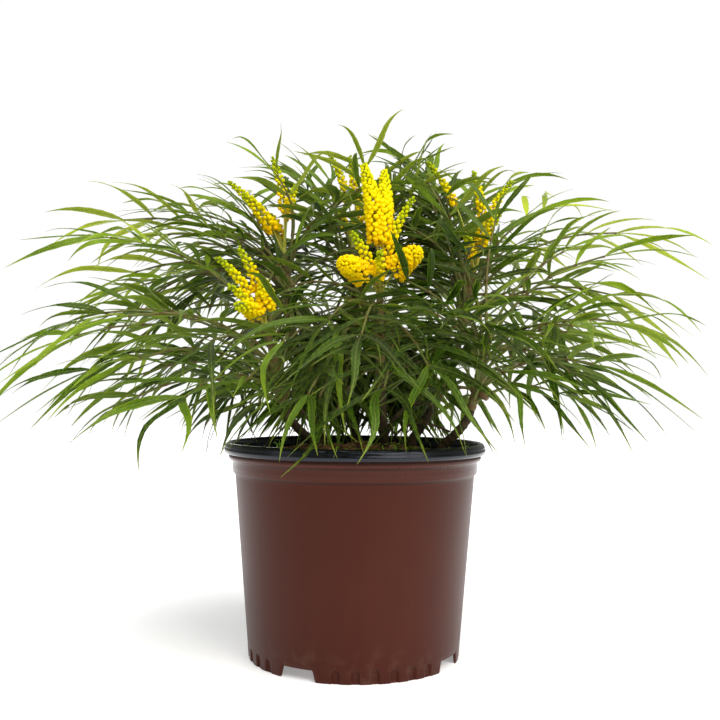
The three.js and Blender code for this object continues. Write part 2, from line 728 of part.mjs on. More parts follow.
function makeRaceme(raceme) {
  const path = racemePath(raceme);
  const [radius, bare] = [raceme[4], raceme[5]];
  const sides = radius > 7.5 ? RACEME.sides : RACEME.sides - 2;
  const stations = [
    { at: path(0), reach: () => RACEME.stalk * 1.2 },
    { at: path(bare * 0.9), reach: () => RACEME.stalk },
  ];
  for (let row = 0; row < RACEME.rows; row++) {
    const share = row / (RACEME.rows - 1);
    const taper = 1 - 0.72 * share ** 2.2;
    const reach = (k) => radius * taper * ((k + row) % 2 ? 1 : RACEME.hollow);
    stations.push({ at: path(bare + (1 - bare) * share), reach });
  }
  return sweep(stations, sides);
}

function makeInflorescence(crown) {
  const axis = stemAxis(CROWNS[crown]);
  const hub = vec(...CROWNS[crown].hub);
  const collar = sweep(
    [
      { at: along(hub, axis, STEM.top + CLEARANCE), reach: () => 3.6, heading: axis },
      { at: along(hub, axis, STEM.top + 9), reach: () => 3, heading: axis },
    ],
    RACEME.sides,
  );
  return fuse([collar, ...RACEMES.filter((r) => r[0] === crown).map(makeRaceme)]);
}

const potted = new THREE.Group();
potted.name = "potted_mahonia";
potted.add(named("nursery_pot", makePot(), FINISH.pot));
potted.add(named("potting_mix", makeSoil(), FINISH.soil));
const growth = new Draw(77);
const tips = frondTips();
const crownFronds = CROWNS.map((_, i) => {
  const own = tips.filter(({ crown }) => crown === i).sort((a, b) => a.tip.z - b.tip.z);
  return own.map((entry, k) => new Frond(entry, (k + 0.5) / own.length, growth));
});
const foliage = new Foliage(crownFronds);
CROWNS.forEach((crown, i) => {
  potted.add(named(`cane_${crown.name}`, makeCane(crown), FINISH.cane));
  potted.add(named(`fronds_${crown.name}`, makeCrown(i, foliage.crowns[i]), FINISH.leaf));
  if (RACEMES.some((r) => r[0] === i)) {
    potted.add(named(`racemes_${crown.name}`, makeInflorescence(i), FINISH.flower));
  }
});

export default potted;
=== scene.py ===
"""The looks of a potted mahonia in flower, built round the CAD model in the shared frame.

The plant grows here by the same rule as in its CAD source, in millimetres, and each mesh is
written in metres. +Z is up, the front faces -Y, and the pot stands on Z = 0.
"""

import logging
import math
from collections.abc import Callable
from dataclasses import dataclass, field
from enum import Enum
from functools import cache

import bpy
import numpy as np
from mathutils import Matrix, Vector, noise


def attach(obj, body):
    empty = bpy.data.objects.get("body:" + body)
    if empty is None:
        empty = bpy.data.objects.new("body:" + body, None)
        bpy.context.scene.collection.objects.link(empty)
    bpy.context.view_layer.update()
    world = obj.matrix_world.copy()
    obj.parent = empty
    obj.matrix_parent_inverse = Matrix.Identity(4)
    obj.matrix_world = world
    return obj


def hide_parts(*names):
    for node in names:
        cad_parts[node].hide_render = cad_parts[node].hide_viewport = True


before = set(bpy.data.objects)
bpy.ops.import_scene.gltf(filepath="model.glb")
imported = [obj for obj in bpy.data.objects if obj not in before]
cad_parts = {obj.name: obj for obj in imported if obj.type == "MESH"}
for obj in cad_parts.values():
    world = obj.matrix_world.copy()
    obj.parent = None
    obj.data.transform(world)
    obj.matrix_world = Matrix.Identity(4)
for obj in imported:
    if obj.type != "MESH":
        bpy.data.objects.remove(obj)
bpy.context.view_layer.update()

log = logging.getLogger("potted_mahonia")

MM = 0.001
UP = np.array((0.0, 0.0, 1.0))
GOLDEN_TURN = 137.508


def along(start: np.ndarray, run: np.ndarray, share: float) -> np.ndarray:
    """The point a share of a run away from its start."""
    return start + run * share


def unit(vector: np.ndarray) -> np.ndarray:
    """The vector at length one."""
    return vector / math.sqrt(float(vector @ vector))


def cross(a: np.ndarray, b: np.ndarray) -> np.ndarray:
    """Cross product of two single vectors."""
    return np.array(
        (a[1] * b[2] - a[2] * b[1], a[2] * b[0] - a[0] * b[2], a[0] * b[1] - a[1] * b[0])
    )


def clamp(value: float, low: float, high: float) -> float:
    """The value held between two limits."""
    return max(low, min(high, value))


def smooth(value: float, low: float, high: float) -> float:
    """A smooth step from 0 at low to 1 at high."""
    t = clamp((value - low) / (high - low), 0.0, 1.0)
    return t * t * (3 - 2 * t)


def polar(azimuth_deg: float, radius: float, z: float = 0.0) -> np.ndarray:
    """A point at an azimuth that turns from the front towards +X."""
    turn = math.radians(azimuth_deg)
    return np.array((radius * math.sin(turn), -radius * math.cos(turn), z))


class Draw:
    """Numbers in a fixed order from 0 to 1, as in the CAD source."""

    def __init__(self, seed: int) -> None:
        """Starts the order at a seed."""
        self.state = seed % 2**32

    def value(self) -> float:
        """The next number."""
        self.state = (self.state * 1664525 + 1013904223) % 2**32
        return self.state / 4294967296

    def spread(self, reach: float) -> float:
        """The next number, from -reach to reach."""
        return (2 * self.value() - 1) * reach


@dataclass(frozen=True)
class Crown:
    """A leafy crown on its cane.

    Attributes:
        name: Name of the crown in the CAD nodes.
        hub: Centre of the top whorl, in mm.
        root: Place of the cane in the mix, in mm.
    """

    name: str
    hub: tuple[float, float, float]
    root: tuple[float, float]

    def axis(self) -> np.ndarray:
        """Direction of the leafy stem."""
        lean = 0.62
        (hx, hy, hz), (rx, ry) = self.hub, self.root
        return unit(np.array((lean * (hx - rx), lean * (hy - ry), hz - MixShape.edge)))

    def on_stem(self, height: float) -> np.ndarray:
        """A point on the stem, at a height along its axis from the hub."""
        return along(np.array(self.hub, float), self.axis(), height)

    def cane_path(self) -> list[np.ndarray]:
        """Points on the middle line of the cane, from the mix to the leafy stem.

        Returns:
            The points, in mm.
        """
        start = np.array((*self.root, CaneShape.straight_to))
        end = self.on_stem(-StemShape.length - 0.3)
        knee = along(end, self.axis(), -0.45 * (end[2] - start[2]))
        shares = [i / CaneShape.stations for i in range(CaneShape.stations + 1)]
        return [start * (1 - t) ** 2 + knee * (2 * t * (1 - t)) + end * (t * t) for t in shares]


@dataclass(frozen=True)
class Raceme:
    """A raceme: its crown, tip, radius with its flowers, and share of bare stalk."""

    crown: int
    tip: tuple[float, float, float]
    radius: float
    bare: float

    def point(self, share: float) -> np.ndarray:
        """A point on the bowed middle line.

        Args:
            share: How far along it is, from 0 to 1.

        Returns:
            The point, in mm.
        """
        crown = CROWNS[self.crown]
        hub = np.array(crown.hub, float)
        out = np.array((self.tip[0] - hub[0], self.tip[1] - hub[1], 0.0))
        start = along(crown.on_stem(StemShape.top + 4), unit(out), 2.4)
        chord = np.array(self.tip, float) - start
        bow = cross(unit(cross(chord, UP)), chord) * (4 * 0.08)
        return along(along(start, chord, share), bow, share * (1 - share))


@dataclass(frozen=True)
class MixShape:
    """Sizes of the potting mix, in mm."""

    edge: float = 205
    crown: float = 217
    reach: float = 127.7


@dataclass(frozen=True)
class CaneShape:
    """Sizes of the canes, in mm."""

    foot: float = 188
    straight_to: float = 224
    radius: float = 6.2
    top_radius: float = 4.6
    stations: int = 4


@dataclass(frozen=True)
class StemShape:
    """Sizes of the leafy stem of a crown, in mm."""

    length: float = 78
    radius: float = 4.6
    top: float = 5.5


CROWNS = (
    Crown("front", (24, -62, 372), (31, -28)),
    Crown("left_front", (-90, -52, 338), (-40, -28)),
    Crown("left_back", (-82, 62, 430), (-36, 24)),
    Crown("back", (-4, 95, 440), (0, 42)),
    Crown("right_back", (132, 52, 410), (62, 32)),
    Crown("right_front", (134, -62, 338), (90, -38)),
)

# Fronds placed one by one: crown, then the last joint of the rachis
CHOSEN = (
    (0, -40, -222, 278), (0, 24, -232, 284), (0, 62, -212, 304), (0, -25, -170, 345),
    (1, -294, -20, 352), (1, -280, -75, 334), (1, -266, -70, 300), (1, -222, -50, 274),
    (1, -150, -185, 275), (1, -95, -200, 290),
    (2, -267, 60, 474), (2, -262, 95, 418), (2, -140, 75, 518), (2, -190, 40, 480),
    (3, 9, 62, 536), (3, 52, 78, 505), (3, -52, 90, 520),
    (4, 165, 95, 515), (4, 293, 40, 460), (4, 277, 0, 386), (4, 214, 60, 490),
    (5, 270, -60, 352), (5, 225, -128, 308), (5, 200, -90, 280), (5, 135, -195, 290),
)  # fmt: skip

# Racemes: crown, tip, radius with its flowers, share of bare stalk
RACEMES = tuple(
    Raceme(crown, (x, y, z), radius, bare)
    for crown, x, y, z, radius, bare in (
        (0, 7, -62, 510, 9.5, 0.36), (0, 28, -50, 507, 9, 0.36), (0, 57, -72, 475, 6.5, 0.3),
        (0, -4, -88, 436, 7, 0.3), (0, -16, -100, 407, 10.5, 0.22), (0, 63, -92, 420, 10.5, 0.22),
        (0, 23, -108, 416, 6.5, 0.3),
        (1, -121, -50, 426, 7, 0.4), (1, -139, -74, 413, 6, 0.4), (1, -124, -100, 382, 6, 0.3),
        (1, -93, -66, 390, 9.5, 0.25), (1, -115, -112, 362, 8, 0.3),
        (2, -145, 50, 516, 6.5, 0.5), (2, -128, 40, 500, 8.5, 0.3), (2, -98, 72, 548, 7, 0.4),
        (2, -72, 84, 520, 7, 0.45), (2, -108, 118, 492, 8, 0.3),
        (3, -32, 100, 560, 6, 0.45), (3, -9, 92, 556, 6, 0.5), (3, 10, 146, 520, 8, 0.3),
        (3, -30, 140, 505, 7, 0.3),
        (4, 133, 52, 530, 6.5, 0.5), (4, 178, 62, 522, 6, 0.5), (4, 164, 38, 485, 6.5, 0.4),
        (4, 122, 24, 454, 7, 0.3), (4, 84, 84, 548, 5.5, 0.55), (4, 160, 108, 492, 8, 0.3),
    )
)  # fmt: skip


def nearest_crown(x: float, y: float) -> tuple[int, float]:
    """Number of the crown whose hub is nearest seen from above, and its distance."""
    away = [math.hypot(crown.hub[0] - x, crown.hub[1] - y) for crown in CROWNS]
    return away.index(min(away)), min(away)


# The growing rule


@dataclass
class Rods:
    """Round obstacles that fronds and leaflets bend round: the racemes and the canes."""

    starts: np.ndarray
    runs: np.ndarray
    reaches: np.ndarray
    canes: np.ndarray

    @classmethod
    def of_plant(cls) -> "Rods":
        """The rods of all racemes and canes.

        Returns:
            The rods.
        """
        rows = []
        for raceme in RACEMES:
            stops = [0, raceme.bare, 0.5 + raceme.bare / 2, 1]
            for i, (a, b) in enumerate(zip(stops, stops[1:])):
                reach = (raceme.radius if i else 2) + 5.8
                rows.append((raceme.point(a), raceme.point(b), reach, -1))
        for i, crown in enumerate(CROWNS):
            stops = [np.array((*crown.root, CaneShape.foot)), *crown.cane_path()]
            rows += [(a, b, CaneShape.radius + 5, i) for a, b in zip(stops, stops[1:])]
        starts = np.array([row[0] for row in rows], float)
        return cls(
            starts=starts,
            runs=np.array([row[1] for row in rows]) - starts,
            reaches=np.array([row[2] for row in rows]),
            canes=np.array([row[3] for row in rows]),
        )

    def offsets(self, points: np.ndarray) -> tuple[np.ndarray, np.ndarray]:
        """Vectors and distances from every rod to every point.

        Args:
            points: Points, one a row.

        Returns:
            Vectors of shape points x rods x 3, and their lengths.
        """
        rel = points[:, None, :] - self.starts
        square = (self.runs**2).sum(1)
        t = np.clip((rel * self.runs).sum(2) / square, 0, 1)
        off = rel - self.runs * t[:, :, None]
        return off, np.sqrt((off**2).sum(2))

    def inside(self, points: np.ndarray, crown: int) -> bool:
        """Whether a point is in a rod, other than the crown's own cane."""
        _, distance = self.offsets(points)
        return bool(((distance < self.reaches) & (self.canes != crown)).any())

    def push(self, points: np.ndarray) -> np.ndarray:
        """How far, and which way, points have to move to be clear of rods, rim and mix.

        Args:
            points: Points, one a row.

        Returns:
            A move for each point.
        """
        off, distance = self.offsets(points)
        gain = np.where(
            distance < self.reaches, (self.reaches - distance) / np.maximum(distance, 0.1), 0
        )
        away = (off * gain[:, :, None]).sum(1)
        for move, (x, y, z) in zip(away, points):
            r = math.hypot(x, y)
            if r < 128 and z < MixShape.crown + 8:
                move[2] += MixShape.crown + 8 - z
            if 128 <= r < 152 and z < PotShape.height + 5:
                out, up = 152 - r, PotShape.height + 5 - z
                if out < up:
                    move += np.array((x / r * out, y / r * out, 0))
                else:
                    move[2] += up
        return away


class Lines:
    """Straight runs of all that has grown."""

    def __init__(self, room: int = 6000) -> None:
        """Makes room for a number of runs.

        Args:
            room: The number.
        """
        self.start = np.zeros((room, 3))
        self.run = np.zeros((room, 3))
        self.crown = np.zeros(room, int)
        self.owner = np.zeros(room, int)
        self.count = 0

    def add(self, a: np.ndarray, b: np.ndarray, crown: int, owner: int) -> None:
        """Adds a run of a crown, with the number of its owner."""
        i = self.count
        self.start[i], self.run[i], self.crown[i], self.owner[i] = a, b - a, crown, owner
        self.count += 1

    def nearness(self, a: np.ndarray, b: np.ndarray) -> np.ndarray:
        """Least distance from the run a to b to each run that has grown.

        Args:
            a: Its start.
            b: Its end.

        Returns:
            A distance for each run.
        """
        u, v = b - a, self.run[: self.count]
        w = a - self.start[: self.count]
        uu, vv = float(u @ u), (v**2).sum(1)
        uv, uw, vw = v @ u, w @ u, (v * w).sum(1)
        spread = uu * vv - uv * uv
        flat = spread < 1e-9
        first = np.where(flat, 0, (uv * vw - vv * uw) / np.where(flat, 1, spread))
        t = np.clip((uv * np.clip(first, 0, 1) + vw) / vv, 0, 1)
        s = np.clip((uv * t - uw) / uu, 0, 1)
        gap = w + u * s[:, None] - v * t[:, None]
        return np.sqrt((gap**2).sum(1))


@dataclass(frozen=True)
class LeafletShape:
    """Sizes of leaflets, in mm, and the least distances between their middle lines."""

    length: float = 76
    extra: float = 20
    half: float = 4.7
    terminal: float = 88
    widest: float = 0.42
    full_pairs: int = 2
    tries: int = 7
    apart_own: float = 3.6
    apart_other: float = 10
    apart_rachis: float = 9


@dataclass
class Leaflet:
    """A leaflet on its curve from joint to tip.

    Attributes:
        path: Its start, middle and tip, one a row, in mm.
        run: Direction of the rachis at the joint, along which the blade is wide.
        straight: Whether the CAD model makes it a straight spike.
    """

    path: np.ndarray
    run: np.ndarray
    straight: bool

    def points(self, shares: np.ndarray) -> np.ndarray:
        """Points on the curve."""
        u = np.asarray(shares, float)
        weights = np.stack(((1 - u) * (1 - 2 * u), 4 * u * (1 - u), u * (2 * u - 1)), -1)
        return weights @ self.path


class Frond:
    """The curve of a rachis from its crown's stem to its last joint, and its leaflets."""

    def __init__(
        self,
        number: int,
        crown: int,
        tip: np.ndarray,
        height: float,
        draw: Draw,
        filler: bool = False,
    ) -> None:
        """Places a frond.

        Args:
            number: Number of the frond, from 1.
            crown: Number of its crown.
            tip: Its last joint, in mm.
            height: Share of the leafy stem at which it grows.
            draw: Numbers that vary its curve.
            filler: Whether only the fine model has it.
        """
        self.number, self.crown, self.tip, self.filler = number, crown, tip, filler
        base = CROWNS[crown].on_stem(-StemShape.length + 5 + (StemShape.length - 6) * height)
        out = unit((tip - base) * np.array((1, 1, 0)))
        self.base = along(base, out, StemShape.radius * 0.4)
        self.chord = tip - self.base
        self.length = math.sqrt(float(self.chord @ self.chord))
        run = self.chord / self.length
        side = unit(cross(run, UP))
        level = math.sqrt(1 - run[2] ** 2)
        rise = cross(side, run) * (self.length * (0.05 + 0.09 * level))
        self.aside = side * self.length
        self.bow = along(rise, self.aside, draw.spread(0.05))
        self.roll = math.radians(draw.spread(24))
        self.seed = math.floor(draw.value() * 4294967295)
        self.joints: list[float] = []
        self.leaflets: list[Leaflet] = []

    def point(self, s: float) -> np.ndarray:
        """A point on the rachis."""
        return along(along(self.base, self.chord, s), self.bow, 4 * s * (1 - s))

    def stops(self) -> list[np.ndarray]:
        """Ends of the straight runs that stand for the rachis."""
        return [self.point(s) for s in (0, 0.2, 0.4, 0.6, 0.8, 1)]

    def bend_clear(self, rods: Rods, lines: Lines) -> bool:
        """Bends the rachis sideways until it is clear of rods and other crowns.

        Args:
            rods: Racemes and canes.
            lines: What has grown.

        Returns:
            False where no bend is clear.
        """
        first = self.bow
        tests = (0.06, 0.15, 0.25, 0.35, 0.45, 0.55, 0.65, 0.75, 0.85, 0.95, 1)
        for bend in (0, 0.06, -0.06, 0.12, -0.12, 0.18, -0.18, 0.24, -0.24, 0.3, -0.3):
            self.bow = along(first, self.aside, bend)
            if rods.inside(np.array([self.point(s) for s in tests]), self.crown):
                continue
            foreign = lines.crown[: lines.count] != self.crown
            stops = self.stops()
            if not any(
                (lines.nearness(a, b)[foreign] < LeafletShape.apart_rachis).any()
                for a, b in zip(stops, stops[1:])
            ):
                return True
        return False

    def frame(self, s: float) -> tuple[np.ndarray, np.ndarray, np.ndarray, np.ndarray]:
        """Point, run, side and over directions at a share of the rachis."""
        run = unit(along(self.chord, self.bow, 4 * (1 - 2 * s)))
        side = unit(cross(run, UP))
        return self.point(s), run, side, cross(side, run)


class Plant:
    """All fronds and leaflets, grown in the order of the CAD source.

    The numbers of fronds come first: on the dome, high on it, round the rim, and those in
    between that only the fine model has.
    """

    outer, upper, skirt, inner = 66, 28, 10, 270
    dome_centre = (-3, -4, 300)
    dome_depth = 0.9
    dome_radii = ((-12, 205), (0, 262), (12, 288), (30, 312), (60, 252), (90, 238))
    top_back, top_front = 545, 352

    def __init__(self) -> None:
        """Grows the plant."""
        self.rods = Rods.of_plant()
        self.lines = Lines()
        self.owner = 10000
        for i, crown in enumerate(CROWNS):
            self.lines.add(crown.on_stem(-StemShape.length), crown.on_stem(StemShape.top), i, 0)
        tips, growth = self.tips(), Draw(77)
        self.fronds: list[Frond] = []
        for i in range(len(CROWNS)):
            own = sorted((tip for crown, tip in tips if crown == i), key=lambda tip: tip[2])
            for k, tip in enumerate(own):
                height = (k + 0.5) / len(own)
                self.fronds.append(Frond(len(self.fronds) + 1, i, tip, height, growth))
        self.fronds = [frond for frond in self.fronds if self.settled(frond)]
        for frond in self.fronds:
            self.grow(frond)
        self.fillers: list[Frond] = []
        self.thicken()

    def thicken(self) -> None:
        """Adds the fronds in between that only the fine model has."""
        draw, clear = Draw(515), Lines(1)
        for k in range(self.inner):
            (x, y, z), hub_height, core = self.filler_tip(k, draw)
            crown, away = nearest_crown(x, y)
            near = away < (25 if core else 45)
            before = y < CROWNS[crown].hub[1] and z > hub_height - 34 and crown < 2
            beside = abs(x) > 150 and k % 4
            over_rim = y < -40 and z < 290
            if near or before or beside or over_rim:
                continue
            height = 0.15 + 0.6 * draw.value()
            frond = Frond(2000 + k, crown, np.array((x, y, z)), height, draw, filler=True)
            if frond.bend_clear(self.rods, clear):
                self.fillers.append(frond)
                self.grow(frond)

    @staticmethod
    def filler_tip(k: int, draw: Draw) -> tuple[tuple[float, float, float], float, bool]:
        """Last joint of a frond in between.

        Args:
            k: Its number. Every third is low, every fifth at the core, three in eight behind.
            draw: Numbers that vary its place.

        Returns:
            Its place, height of the hub beside it, and whether it is at the core.
        """
        turn = math.radians(k * GOLDEN_TURN + draw.spread(20))
        low, core = k % 3 == 0, k % 5 == 2
        reach = (70 + 85 * draw.value()) if low else (120 + 110 * draw.value())
        x, y = reach * 1.1 * math.sin(turn) + 6, -reach * math.cos(turn)
        hub_height = CROWNS[nearest_crown(x, y)[0]].hub[2]
        z = 246 + 62 * draw.value() if low else hub_height + draw.spread(46) - 14
        if core:
            x, y, z = 6 + draw.spread(90), 52 + draw.spread(54), 258 + 66 * draw.value()
        elif k % 8 in (1, 3, 5):
            x, y, z = 10 + draw.spread(175), 112 + draw.spread(50), 474 + draw.spread(62)
        return (x, y, z), hub_height, core

    def settled(self, frond: Frond) -> bool:
        """Whether a frond finds a clear place; its rachis is then kept.

        Args:
            frond: The frond.

        Returns:
            Whether it does.
        """
        placed = frond.bend_clear(self.rods, self.lines)
        if placed:
            stops = frond.stops()
            for a, b in zip(stops, stops[1:]):
                self.lines.add(a, b, frond.crown, frond.number)
        return placed

    def dome_radius(self, elevation: float) -> float:
        """Radius of the dome at an elevation in degrees.

        Args:
            elevation: The elevation.

        Returns:
            The radius, in mm.
        """
        for (a, start), (b, end) in zip(self.dome_radii, self.dome_radii[1:]):
            if elevation <= b:
                return start + (end - start) * (max(elevation, a) - a) / (b - a)
        return self.dome_radii[-1][1]

    def tips(self) -> list[tuple[int, np.ndarray]]:
        """Crown and last joint of all fronds.

        Returns:
            Pairs of a crown's number and a place in mm.
        """
        tips = [(crown, np.array((x, y, z), float)) for crown, x, y, z in CHOSEN]
        draw = Draw(2026)

        def place(lift: float, turn: float, share: float) -> np.ndarray:
            """A place on the dome, pressed flat at its top.

            Args:
                lift: Sine of its elevation.
                turn: Its azimuth, in radians.
                share: Share of the dome's radius.

            Returns:
                The place, in mm.
            """
            elevation = math.asin(min(0.995, lift))
            radius = self.dome_radius(math.degrees(elevation)) * share
            flat = radius * math.cos(elevation)
            cx, cy, cz = self.dome_centre
            x = cx + flat * math.sin(turn)
            y = cy - flat * self.dome_depth * math.cos(turn)
            z = cz + radius * math.sin(elevation)
            front = clamp((60 - y) / 200, 0, 1)
            top = self.top_back + front * (self.top_front - self.top_back)
            lower = draw.value() * 25
            return np.array((x, y, top - (z - top) * 0.12 - lower if z > top else z))

        def keep(tip: np.ndarray, gap: float, crown: int | None = None) -> None:
            """Keeps a last joint where there is room for it.

            Args:
                tip: The joint, in mm.
                gap: Least distance to the others, in mm.
                crown: Its crown, or None for the nearest.
            """
            if crown is None:
                crown, _ = nearest_crown(tip[0], tip[1])
            if any(math.dist(other, tip) < gap for _, other in tips):
                return
            hx, hy, hz = CROWNS[crown].hub
            if math.hypot(tip[0] - hx, tip[1] - hy) < 46 and tip[2] < hz + 60:
                return
            if crown == 0 and tip[2] > 392:
                return
            tips.append((crown, tip))

        for k in range(self.outer):
            lift = -0.13 + (1.1 * (k + 0.5)) / self.outer
            turn = math.radians(k * GOLDEN_TURN + draw.spread(9))
            keep(place(lift, turn, 0.93 + draw.spread(0.09)), 38)
        for k in range(self.upper):
            lift = 0.34 + (0.62 * (k + 0.5)) / self.upper
            turn = math.radians(k * GOLDEN_TURN + 40)
            tip = place(lift, turn, 0.82 + draw.spread(0.06))
            if tip[1] > 15:
                keep(tip, 34)
        for k in range(self.skirt):
            turn = math.radians((k * 360) / self.skirt + draw.spread(10))
            reach = 132 + draw.spread(18)
            y = -reach * math.cos(turn)
            z = 262 + draw.value() * 40 + (30 if y > 0 else 0)
            keep(np.array((1.1 * reach * math.sin(turn), y, z)), 30)
        for crown, (x, y, z) in enumerate(c.hub for c in CROWNS):
            for aside in (-58, 0, 58):
                turn = math.atan2(-x, y) + math.radians(aside + draw.spread(12))
                reach = 92 + draw.spread(16)
                height = z + 38 + draw.spread(26)
                tip = np.array((x + reach * math.sin(turn), y - reach * math.cos(turn), height))
                keep(tip, 30, crown)
        return tips

    def settle(
        self, start: np.ndarray, ahead: np.ndarray, sag: np.ndarray, length: float, straight: bool
    ) -> np.ndarray | None:
        """Bends a leaflet clear of rods, rim and mix.

        Args:
            start: Its joint.
            ahead: Its direction there.
            sag: How its tip leaves that direction, as a share of its length.
            length: Its length.
            straight: Whether its middle stays on the line from joint to tip.

        Returns:
            Start, middle and tip, or None where it can't be clear.
        """
        mid = along(along(start, ahead, length * 0.5), sag, length * 0.25)
        path = np.array((start, mid, along(along(start, ahead, length), sag, length)))
        if straight:
            path[1] = (path[0] + path[2]) / 2
        tests = np.array((0.12, 0.3, 0.5, 0.65, 0.8, 1))
        for _ in range(7):
            moves = self.rods.push(Leaflet(path, ahead, straight).points(tests))
            worst = int(np.argmax((moves**2).sum(1)))
            move, u = moves[worst], tests[worst]
            if float(move @ move) < 1e-6:
                return path
            path[2] += move * (1.15 * u)
            path[1] = (path[0] + path[2]) / 2 if straight else path[1] + move * 0.6
        return None

    def crossings(self, runs: list[tuple[np.ndarray, np.ndarray]], frond: Frond) -> float:
        """How often runs come too near to what has grown, or infinity at another crown.

        Args:
            runs: Start and end of each run.
            frond: The frond that they belong to.

        Returns:
            The count.
        """
        own = self.lines.crown[: self.lines.count] == frond.crown
        seen = self.lines.owner[: self.lines.count] != frond.number
        limit = np.where(own, LeafletShape.apart_own, LeafletShape.apart_other)
        count = 0
        for a, b in runs:
            met = (self.lines.nearness(a, b) < limit) & seen
            if (met & ~own).any():
                return math.inf
            count += int(met.sum())
        return count

    def clearest(
        self,
        frond: Frond,
        run: np.ndarray,
        straight: bool,
        one_try: Callable[[float], np.ndarray | None],
    ) -> None:
        """Keeps the first of a few tries that crosses nothing, or the one that crosses least.

        Args:
            frond: The frond that the leaflet grows on.
            run: Direction along which its blade is wide.
            straight: Whether the CAD model makes it a straight spike.
            one_try: Gives a path for a share of looseness from 0 to 1, or None.
        """
        best, best_count, best_runs = None, math.inf, []
        for k in range(LeafletShape.tries):
            if best_count <= 0:
                break
            path = one_try(k / (LeafletShape.tries - 1))
            if path is None:
                continue
            leaflet = Leaflet(path, run, straight)
            a, mid = leaflet.points((0.08, LeafletShape.widest))
            runs = [(a, mid), (mid, path[2])]
            count = 0 if frond.filler else self.crossings(runs, frond)
            if count < best_count:
                best, best_count, best_runs = leaflet, count, runs
        if best is not None:
            self.owner += 1
            for a, b in best_runs:
                self.lines.add(a, b, frond.crown, self.owner)
            frond.leaflets.append(best)

    def grow(self, frond: Frond) -> None:
        """Grows the leaflets of a frond, pair by pair from its last joint.

        Args:
            frond: The frond.
        """
        draw = Draw(frond.seed)
        gap = clamp(frond.length / 5.4, 24, 31)
        pairs = int(clamp(math.floor((frond.length - 22) / gap), 3, 5))
        for j in range(pairs):
            s = 1 - (j * gap) / frond.length
            frond.joints.append(s)
            at, run, side, over = frond.frame(s)
            share = j / (pairs - 1)
            length = LeafletShape.length + LeafletShape.extra * math.sin(
                math.pi * (0.25 + 0.6 * share)
            )
            straight = j >= LeafletShape.full_pairs
            for hand in (-1, 1):

                def pair_try(loose: float) -> np.ndarray | None:
                    """A path of one of the pair, freer in its direction where loose is more."""
                    spread = math.radians(36 + 30 * share + draw.spread(4 + 16 * loose))
                    roll = frond.roll + math.radians(draw.spread(34 * loose))
                    out = side * (hand * math.cos(roll)) + over * (hand * math.sin(roll))
                    ahead = run * math.cos(spread) + out * math.sin(spread)
                    ahead = unit(ahead + over * (0.16 + draw.spread(0.24 + 0.2 * loose)))
                    droop = (0.1 + draw.value() * 0.26) * (0.6 if frond.tip[2] < 300 else 1)
                    sag = run * 0.1 - UP * droop
                    return self.settle(at, ahead, sag, length * (1 + draw.spread(0.13)), straight)

                self.clearest(frond, run, straight, pair_try)
        at, run, side, _ = frond.frame(1)

        def end_try(loose: float) -> np.ndarray | None:
            """A path of the leaflet at the end, freer in its direction where loose is more."""
            ahead = unit(along(run, side, draw.spread(0.5 * loose)))
            sag = UP * -(0.1 + 0.15 * draw.value())
            length = LeafletShape.terminal * (1 + draw.spread(0.1))
            return self.settle(at, ahead, sag, length, False)

        self.clearest(frond, side, False, end_try)


# Shading


def colour(code: str) -> tuple[float, float, float, float]:
    """A linear colour from its #rrggbb code."""
    parts = [int(code[i : i + 2], 16) / 255 for i in (1, 3, 5)]
    linear = [c / 12.92 if c <= 0.04045 else ((c + 0.055) / 1.055) ** 2.4 for c in parts]
    return (*linear, 1.0)


class Wire:
    """A number in a node tree. Python arithmetic on it adds Math nodes."""

    def __init__(self, shade: "Shade", socket: bpy.types.NodeSocket) -> None:
        """Wraps an output socket of a material."""
        self.shade, self.socket = shade, socket

    def math(self, operation: str, *others: "Wire | float") -> "Wire":
        """Adds a Math node.

        Args:
            operation: Its operation.
            others: Its further operands.

        Returns:
            Its result.
        """
        inputs = dict(enumerate((self, *others)))
        node = self.shade.add("ShaderNodeMath", {"operation": operation}, inputs)
        return Wire(self.shade, node.outputs[0])

    def __add__(self, other: "Wire | float") -> "Wire":
        """Sum."""
        return self.math("ADD", other)

    def __sub__(self, other: "Wire | float") -> "Wire":
        """Difference."""
        return self.math("SUBTRACT", other)

    def __mul__(self, other: "Wire | float") -> "Wire":
        """Product."""
        return self.math("MULTIPLY", other)

    __radd__ = __add__
    __rmul__ = __mul__

    def size(self) -> "Wire":
        """Absolute value."""
        return self.math("ABSOLUTE")

    def wave(self) -> "Wire":
        """Sine."""
        return self.math("SINE")

    def step(self, low: float, high: float) -> "Wire":
        """A smooth step from 0 at low to 1 at high, or falling where low is the larger.

        Args:
            low: Where it starts.
            high: Where it ends.

        Returns:
            The step.
        """
        settings = {"interpolation_type": "SMOOTHSTEP", "clamp": True}
        falling = low > high
        ends = {"From Min": min(low, high), "From Max": max(low, high)}
        ends |= {"To Min": float(falling), "To Max": float(not falling)}
        node = self.shade.add("ShaderNodeMapRange", settings, {"Value": self, **ends})
        return Wire(self.shade, node.outputs["Result"])

    def band(self, low: float, full: float, still_full: float, high: float) -> "Wire":
        """1 from full to still_full, and 0 below low and above high."""
        return self.step(low, full) * self.step(high, still_full)


